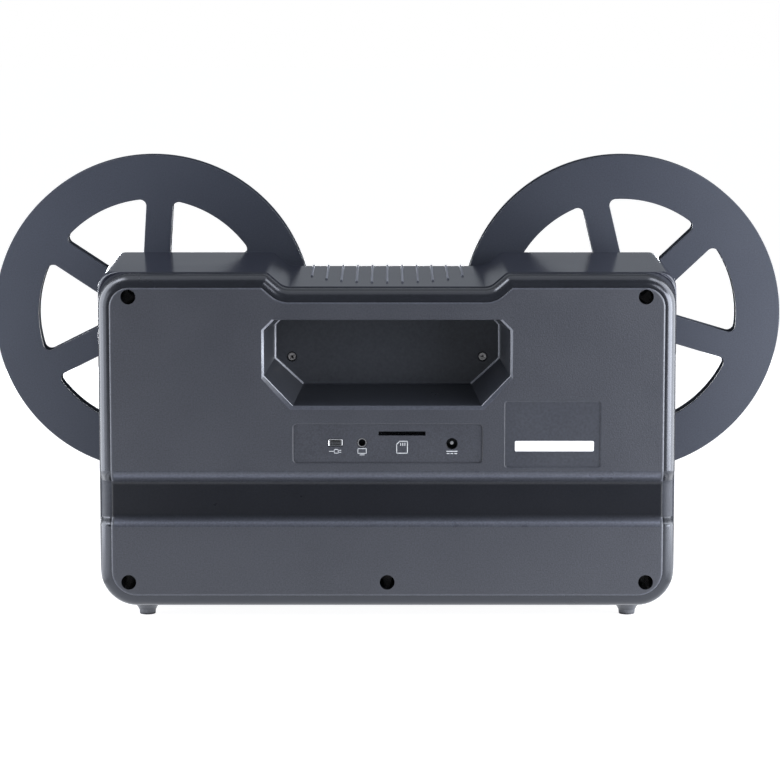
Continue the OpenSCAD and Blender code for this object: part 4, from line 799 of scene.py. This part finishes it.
drum = [(27.0, 141.5), (27.0, 151.5), (24.5, 151.5), (24.5, 141.5)]
sleeve = [(10.2, 141.5), (10.2, 151.5), (6.5, 151.5), (6.5, 141.5)]
bore_bead = [(10.8, 152.9), (10.8, 153.4), (10.6, 153.6), (8.4, 153.6), (8.2, 153.4), (8.2, 152.9)]
hub_bead = [(28.6, 152.9), (28.6, 153.15), (28.3, 153.3), (27.1, 153.3), (26.8, 153.15), (26.8, 152.9)]
REEL_HALVES = (
    ("rear", 140.0, 141.6, ((drum, 96), (sleeve, 48))),
    ("front", 151.4, 153.0, ((bore_bead, 64), (hub_bead, 96))),
)
for side, x, angle in (("supply", SPINDLE_X, 43.4), ("takeup", -SPINDLE_X, 86.5)):
    loops = [circle_section(0, 0, REEL_R, 240), circle_section(0, 0, 6.45, 48)]
    loops += [window_loop(64.5, 30.0, 7.4, 3.5, angle + 60 * k) for k in range(6)]
    for half, d0, d1, turned in REEL_HALVES:
        disc = pierced_disc(side + "_reel_" + half, loops, x, d0, d1, SPINDLE_Z, 0.3, reel_slate)
        rings = Mould()
        for ring, steps in turned:
            turned_along(rings, x, SPINDLE_Z, ring, steps)
        extra = soften(rings.piece(side + "_reel_rings_" + half, (reel_slate,)), 0.0)
        reel = joined(side + "_reel_" + half + "_disc", [disc, extra])
        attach(reel, side + "_spindle")
        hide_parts(side + "_reel_" + half + "_half")

# Cross-head screws in black zinc: two hold the floor of the hand pocket to its posts, and five at the
# bottom of the deep wells draw the cover onto the casing. Heads are formed cold, then the cross is punched.
screws, given, out = node_tree("cross_head_screws", (
    ("Head", "Float"), ("Thick", "Float"), ("Shank", "Float"), ("Length", "Float"), ("Span", "Float"),
    ("Blade", "Float"), ("Turn", "Float"), ("Finish", "Material")))
disc = wire(screws, "GeometryNodeMeshCylinder", {
    "Vertices": 40, "Radius": given.outputs["Head"], "Depth": given.outputs["Thick"]})
sunk = wire(screws, "ShaderNodeCombineXYZ", {2: sums(screws, "MULTIPLY", given.outputs["Thick"], -0.5)})
head = wire(screws, "GeometryNodeTransform", {
    "Geometry": disc.outputs["Mesh"], "Translation": sunk.outputs[0]})
deep = sums(screws, "MULTIPLY", given.outputs["Thick"], 1.7)
blades = []
for first, second in (("Span", "Blade"), ("Blade", "Span")):
    size = wire(screws, "ShaderNodeCombineXYZ", {
        0: given.outputs[first], 1: given.outputs[second], 2: deep})
    blades.append(wire(screws, "GeometryNodeMeshCube", {"Size": size.outputs[0]}).outputs["Mesh"])
punch = wire(screws, "GeometryNodeMeshBoolean", {0: head.outputs[0]}, operation="DIFFERENCE")
for blade in blades:
    screws.links.new(blade, punch.inputs[1])
rod = wire(screws, "GeometryNodeMeshCylinder", {
    "Vertices": 24, "Radius": given.outputs["Shank"], "Depth": given.outputs["Length"]})
overlap = sums(screws, "MULTIPLY", given.outputs["Thick"], -0.9)
below = sums(screws, "MULTIPLY_ADD", given.outputs["Length"], -0.5, overlap)
low = wire(screws, "ShaderNodeCombineXYZ", {2: below})
shank = wire(screws, "GeometryNodeTransform", {
    "Geometry": rod.outputs["Mesh"], "Translation": low.outputs[0]})
whole = wire(screws, "GeometryNodeJoinGeometry", {})
screws.links.new(punch.outputs[0], whole.inputs[0])
screws.links.new(shank.outputs[0], whole.inputs[0])
order = sums(screws, "ADD", wire(screws, "GeometryNodeInputIndex", {}).outputs[0], 1.0)
twist = wire(screws, "ShaderNodeCombineXYZ", {2: sums(screws, "MULTIPLY", order, given.outputs["Turn"])})
driven = wire(screws, "GeometryNodeInstanceOnPoints", {
    "Points": given.outputs["Geometry"], "Instance": whole.outputs[0], "Rotation": (math.pi / 2, 0.0, 0.0)})
spun = wire(screws, "GeometryNodeRotateInstances", {
    "Instances": driven.outputs[0], "Rotation": twist.outputs[0]})
finish_tree(screws, spun.outputs[0], given, out)


def metal(name, dark, light, rough, swing, marks_per_m, bump):
    finish = moulded(name, dark, light, rough, swing, marks_per_m, bump, 70.0)
    shader(finish).inputs["Metallic"].default_value = 1.0
    return finish


black_zinc = metal("black_zinc", (0.3, 0.29, 0.285), (0.5, 0.48, 0.47), 0.3, 0.08, 2600.0, 0.01)
pocket_screws = grown("pocket_screws", [(x, 36.5, z) for x, z in GRIP_SCREWS], screws, {
    "Head": 1.95 * MM, "Thick": 1.2 * MM, "Shank": 1.2 * MM, "Length": 12.5 * MM, "Span": 2.9 * MM,
    "Blade": 0.95 * MM, "Turn": 0.7, "Finish": black_zinc})
soften(pocket_screws, 0.14, 2, 40)
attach(pocket_screws, "case")
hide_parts("handle_screws")
well_screws = grown("well_screws", [(x, 47.8, z) for x, z in WELLS], screws, {
    "Head": 3.0 * MM, "Thick": 2.2 * MM, "Shank": 1.4 * MM, "Length": 20.2 * MM, "Span": 3.4 * MM,
    "Blade": 0.9 * MM, "Turn": 0.45, "Finish": black_zinc})
soften(well_screws, 0.2, 2, 40)
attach(well_screws, "case")
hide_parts("case_screws")

# The sockets stand on the main board behind the shallow recess: a folded-steel data socket with a black
# tongue, a moulded round jack, a pressed-steel card slot and a barrel inlet with a plated pin.
socket_steel = metal("socket_steel", (0.62, 0.62, 0.63), (0.74, 0.74, 0.75), 0.24, 0.06, 1800.0, 0.004)
socket_black = moulded(
    "socket_black", (0.012, 0.012, 0.013), (0.022, 0.022, 0.024), 0.4, 0.05, 1500.0, 0.01)


def refined(node, finish, width, body, segments=2, angle=30):
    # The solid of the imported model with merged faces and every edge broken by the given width.
    work = bmesh.new()
    work.from_mesh(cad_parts[node].data)
    bmesh.ops.remove_doubles(work, verts=work.verts, dist=2e-6)
    bmesh.ops.dissolve_limit(work, angle_limit=math.radians(1.0), verts=work.verts, edges=work.edges)
    mesh = bpy.data.meshes.new(node + "_finished")
    work.to_mesh(mesh)
    work.free()
    mesh.materials.append(finish)
    obj = bpy.data.objects.new(node + "_finished", mesh)
    scene.collection.objects.link(obj)
    soften(obj, width, segments, angle)
    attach(obj, body)
    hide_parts(node)
    return obj


usb = Mould()
wall = [(7.6, 3.8, 0.7, 1.35), (7.6, 3.8, 0.7, 10.2), (6.8, 3.0, 0.45, 10.2)]
wall += [(6.8, 3.0, 0.45, 1.35), (7.2, 3.4, 0.55, 1.2)]
usb.tube([(box_section(*DATA_SOCKET, w, h, r), d) for w, h, r, d in wall])
usb.prism(box_section(*DATA_SOCKET, 7.0, 3.2, 0.4), 9.4, 10.1)
usb_shell = soften(usb.piece("usb_shell", (socket_steel,)), 0.0)
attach(usb_shell, "case")
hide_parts("usb_socket")
tongue = Mould()
tongue.prism(box_section(-27.0, 95.5, 5.2, 1.0, 0.2), 2.2, 9.8)
usb_tongue = soften(tongue.piece("usb_tongue", (socket_black,)), 0.12)
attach(usb_tongue, "case")
refined("av_jack", socket_black, 0.18, "case")
refined("card_socket", socket_steel, 0.12, "case")
dc = refined("dc_jack", socket_black, 0.15, "case")
dc.data.materials.append(socket_steel)
for face in dc.data.polygons:
    across = Vector((face.center.x / MM, face.center.z / MM)) - Vector(POWER_INLET)
    face.material_index = 1 if across.length < 1.2 else 0
jack_ring = Mould()
turned_along(jack_ring, *PICTURE_JACK, [(1.95, 1.25), (1.95, 1.18), (2.3, 1.18), (2.3, 1.25)], 40)
av_ring = soften(jack_ring.piece("av_jack_ring", (socket_steel,)), 0.0)
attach(av_ring, "case")

# Marks printed in white beside the sockets, plain outlines of a plug, a screen, a memory card and the sign
# for direct current. Pad printing leaves a film about as thick as a hair.
mark_ink = moulded("mark_ink", (0.5, 0.51, 0.53), (0.62, 0.63, 0.65), 0.55, 0.05, 2400.0, 0.004)
INK = 0.03


def stroke(mould, path, width, d, closed=False, front=False):
    # A printed line along the points of a path, in the plane at depth d.
    pts = [Vector(p) for p in path]
    pairs = list(zip(pts, pts[1:] + pts[:1]))
    for a, b in pairs if closed else pairs[:-1]:
        along = (b - a).normalized() * width / 2
        side = Vector((-along.y, along.x))
        corners = [a - along - side, b + along - side, b + along + side, a - along + side]
        rear, face = (d - INK, d) if front else (d, d + INK)
        mould.prism([tuple(c) for c in corners], rear - INK, face)


marks = Mould()
FLOOR = 1.0
plug = [((-30.2, 90.6), (-27.6, 90.6)), ((-25.4, 91.1), (-24.2, 91.1)), ((-25.4, 90.1), (-24.2, 90.1))]
plug_body = ((-27.6, 91.6), (-27.6, 89.6), (-25.6, 89.6), (-25.6, 91.6))
picture = ((-15.3, 92.0), (-10.9, 92.0), (-10.9, 89.5), (-15.3, 89.5))
picture_foot = ((-14.2, 88.7), (-12.0, 88.7))
card = ((5.0, 89.6), (10.6, 89.6), (10.6, 95.9), (6.6, 95.9), (5.0, 94.3))
contacts = [((7.1 + 1.1 * k, 94.9), (7.1 + 1.1 * k, 93.7)) for k in range(3)]
direct_line = ((31.2, 90.6), (36.6, 90.6))
dashes = [((31.4 + 2.0 * k, 89.4), (32.4 + 2.0 * k, 89.4)) for k in range(3)]
for path in plug + [picture_foot]:
    stroke(marks, path, 0.34, FLOOR)
for path in contacts + [direct_line] + dashes:
    stroke(marks, path, 0.4, FLOOR)
for path, width in ((plug_body, 0.34), (picture, 0.34), (card, 0.4)):
    stroke(marks, path, width, FLOOR, True)
port_marks = soften(marks.piece("port_marks", (mark_ink,)), 0.0)
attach(port_marks, "case")

# A strip of white paper with a gummed back lies in the shallow recess beside the sockets. It is cut with
# rounded corners and is blank.
sticker_paper = moulded("sticker_paper", (0.76, 0.76, 0.77), (0.86, 0.86, 0.87), 0.5, 0.05, 2500.0, 0.006)
sheet = Mould()
edge = [(0.12, 0.5), (0.0, 0.46), (0.0, 0.36), (0.08, 0.31), (0.3, 0.3)]
sheet.stack([(box_section(87.4, 93.4, 41.3 - 2 * g, 5.5 - 2 * g, 0.7 - g), d) for g, d in edge])
sticker = soften(sheet.piece("blank_sticker", (sticker_paper,)), 0.0)
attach(sticker, "case")
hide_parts("serial_label")

# The viewing screen on the front: a raised glossy frame round a clear window, with the dark panel of the
# display clamped behind it. The frame is bonded to the casing.
bezel_gloss = moulded(
    "bezel_gloss", (0.008, 0.008, 0.009), (0.014, 0.014, 0.016), 0.1, 0.02, 300.0, 0.002)
rim = [(0.0, 122.0), (0.0, 123.5), (0.12, 123.95), (0.4, 124.28), (0.85, 124.4), (4.5, 124.4)]
rim += [(4.9, 124.25), (6.0, 122.9), (6.0, 122.0)]
bezel = Mould()
bezel.tube([
    (box_section(0.0, SCREEN_Z, 62 - 2 * g, 50 - 2 * g, max(0.3, 3 - 0.6 * g), 8), d) for g, d in rim])
screen_frame = soften(bezel.piece("screen_frame", (bezel_gloss,)), 0.0)
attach(screen_frame, "case")
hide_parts("lcd_bezel")


def clear(name, tint, rough, ior):
    finish = moulded(name, tint, tint, rough, rough * 0.5, 400.0, 0.0005, 25.0)
    skin = shader(finish)
    finish.node_tree.nodes.remove(skin.inputs["Base Color"].links[0].from_node)
    skin.inputs["Base Color"].default_value = (*tint, 1.0)
    skin.inputs["Transmission Weight"].default_value = 1.0
    skin.inputs["IOR"].default_value = ior
    return finish


screen_glass = clear("screen_glass", (0.62, 0.65, 0.68), 0.03, 1.49)
refined("lcd_window", screen_glass, 0.25, "case")
screen_dark = moulded(
    "screen_dark", (0.012, 0.014, 0.018), (0.02, 0.022, 0.028), 0.22, 0.03, 3200.0, 0.003)
refined("lcd_module", screen_dark, 0.3, "case")

# Six push keys in a row under the screen, each a moulded cap on a stem that works a switch on the key
# board. The record key is red. Every cap carries a small printed sign.
key_satin = moulded("key_satin", (0.19, 0.195, 0.205), (0.25, 0.255, 0.265), 0.34, 0.05, 1500.0, 0.01)
key_red = moulded("key_red", (0.34, 0.022, 0.018), (0.44, 0.034, 0.026), 0.32, 0.05, 1500.0, 0.01)
KEY_FACE = 124.2


def arc(x, z, r, first, last, steps=16):
    turn = [math.radians(first + (last - first) * k / steps) for k in range(steps + 1)]
    return [(x + r * math.cos(a), z + r * math.sin(a)) for a in turn]


key_signs = {
    "record": ([arc(0, 0, 1.5, 0, 360, 24)], [arc(0, 0, 0.7, 0, 360, 20)]),
    "ok": ([[(1.6, 0.1), (0.5, -1.1), (-1.5, 1.3)]], []),
    "right": ([], [[(0.9, 1.4), (-1.5, 0.0), (0.9, -1.4)]]),
    "left": ([], [[(-0.9, 1.4), (1.5, 0.0), (-0.9, -1.4)]]),
    "menu": ([[(-1.5, z), (1.5, z)] for z in (-1.0, 0.0, 1.0)], []),
    "power": ([arc(0, -0.1, 1.5, 125, 415, 24), [(0.0, 0.2), (0.0, 1.7)]], []),
}
for i, key in enumerate(("record", "ok", "right", "left", "menu", "power")):
    x = (i - 2.5) * KEY_PITCH
    refined(key + "_button", key_red if key == "record" else key_satin, 0.35, key + "_button_key",
            3)
    signs = Mould()
    lines, fills = key_signs[key]
    for path in lines:
        stroke(signs, [(x + a, KEY_Z + b) for a, b in path], 0.36, KEY_FACE + INK, False, True)
    for loop in fills:
        signs.prism([(x + a, KEY_Z + b) for a, b in loop], KEY_FACE - INK, KEY_FACE + INK)
    sign = soften(signs.piece(key + "_key_sign", (mark_ink,)), 0.0)
    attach(sign, key + "_button_key")

# The film deck and the camera hood: satin mouldings screwed to the casing from inside. The deck carries
# the gate and its lamp, and the hood holds the camera over it, looking straight down.
deck_satin = moulded(
    "deck_satin", (0.016, 0.017, 0.021), (0.026, 0.0275, 0.033), 0.36, 0.05, 1100.0, 0.02)
hood_satin = moulded(
    "hood_satin", (0.013, 0.014, 0.017), (0.022, 0.0235, 0.028), 0.32, 0.05, 1100.0, 0.02)
refined("film_deck", deck_satin, 0.45, "case", 3)
refined("camera_hood", hood_satin, 0.7, "case", 3)
lens_black = moulded("lens_black", (0.01, 0.01, 0.011), (0.018, 0.018, 0.019), 0.45, 0.05, 1600.0, 0.01)
refined("lens_barrel", lens_black, 0.25, "case")
lens_glass = clear("lens_glass", (0.86, 0.9, 0.95), 0.02, 1.52)
refined("lens_glass", lens_glass, 0.3, "case", 3)

# The film gate: a milled aluminium track screwed to the deck, a hinged black lid that presses the film
# flat, and the steel pin that the lid turns on.
track_alloy = metal("track_alloy", (0.44, 0.445, 0.455), (0.58, 0.585, 0.6), 0.3, 0.07, 900.0, 0.008)
bright_steel = metal("bright_steel", (0.56, 0.56, 0.57), (0.7, 0.7, 0.71), 0.2, 0.06, 1400.0, 0.004)
refined("film_track", track_alloy, 0.18, "case")
refined("track_screws", bright_steel, 0.12, "case")
refined("lid_hinge_pin", bright_steel, 0.2, "case")
lid_black = moulded("lid_black", (0.014, 0.015, 0.017), (0.024, 0.025, 0.028), 0.3, 0.05, 1000.0, 0.012)
refined("film_lid", lid_black, 0.3, "lid", 3)
light_milk = moulded("light_milk", (0.82, 0.82, 0.8), (0.9, 0.9, 0.88), 0.4, 0.05, 900.0, 0.005)
refined("light_diffuser", light_milk, 0.15, "case")

# Four white guide rollers lead the film from reel to gate. Each is a turned wheel with a waist, so that
# only the edges of the film touch it, and runs on a steel pin pressed into the casing.
roller_white = moulded("roller_white", (0.68, 0.68, 0.66), (0.78, 0.78, 0.76), 0.36, 0.05, 1300.0, 0.01)
roller_side = [(2.62, 141.1), (4.4, 141.1), (4.6, 141.35), (5.3, 141.35), (5.5, 141.1), (6.7, 141.1)]
roller_side += [(6.95, 141.25), (7.0, 141.5), (6.85, 141.85), (5.9, 142.25), (5.65, 142.4), (5.6, 142.7)]
ROLLER_MIDDLE = 146.5
roller_profile = roller_side + [(r, 2 * ROLLER_MIDDLE - d) for r, d in reversed(roller_side)]
for name, x, z in ROLLERS:
    body = Mould()
    turned_along(body, x, z, roller_profile, 72)
    roller = soften(body.piece(name + "_roller_wheel", (roller_white,)), 0.0)
    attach(roller, name + "_roller_body")
    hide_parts(name + "_roller")
refined("roller_pins", bright_steel, 0.3, "case", 3)

# Each reel sits on a turned spindle in a bronze bush. A small lever on a cross pin folds across the end of
# the spindle and keeps the reel on.
spindle_nickel = metal("spindle_nickel", (0.5, 0.5, 0.51), (0.64, 0.64, 0.65), 0.24, 0.06, 1100.0, 0.006)
bush_bronze = metal("bush_bronze", (0.42, 0.28, 0.12), (0.56, 0.39, 0.18), 0.32, 0.07, 1300.0, 0.008)
for side in ("supply", "takeup"):
    refined(side + "_shaft", spindle_nickel, 0.25, side + "_spindle", 3)
    refined(side + "_bush", bush_bronze, 0.25, "case")
    refined(side + "_lock_pin", bright_steel, 0.2, side + "_spindle")
    refined(side + "_lock_lever", bright_steel, 0.45, side + "_lock", 3)

# Works inside the casing, seen only when it is opened: the steel chassis, the motors, nylon gears, felt
# brake, the claw that steps the film, and the circuit boards.
chassis_zinc = metal("chassis_zinc", (0.4, 0.405, 0.41), (0.55, 0.555, 0.56), 0.36, 0.1, 300.0, 0.01)
motor_steel = metal("motor_steel", (0.48, 0.48, 0.49), (0.6, 0.6, 0.61), 0.3, 0.07, 700.0, 0.01)
board_green = moulded("board_green", (0.008, 0.05, 0.022), (0.014, 0.085, 0.036), 0.3, 0.05, 600.0, 0.006)
gear_nylon = moulded("gear_nylon", (0.7, 0.69, 0.64), (0.8, 0.79, 0.74), 0.4, 0.05, 900.0, 0.008)
brake_felt = moulded("brake_felt", (0.02, 0.021, 0.024), (0.06, 0.062, 0.068), 0.95, 0.03, 2600.0, 0.12)
post_plastic = moulded(
    "post_plastic", (0.03, 0.031, 0.035), (0.045, 0.047, 0.052), 0.45, 0.05, 900.0, 0.015)


def dress(finish, *nodes):
    for node in nodes:
        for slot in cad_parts[node].material_slots:
            slot.material = finish


dress(chassis_zinc, "chassis_plate", "claw_shuttle")
dress(bright_steel, "inner_screws", "claw_crank")
dress(motor_steel, "takeup_motor", "claw_motor")
dress(bush_bronze, "takeup_pinion")
dress(gear_nylon, "takeup_gear")
dress(brake_felt, "supply_brake")
dress(post_plastic, "handle_posts")
dress(board_green, "main_board", "button_board", "sensor_board")
dress(light_milk, "light_box", "led_board")

# The sizes of the model as loaded and as dressed.
size = {"cad": [list(c) for c in cad_box], "visual": [list(c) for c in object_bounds()]}
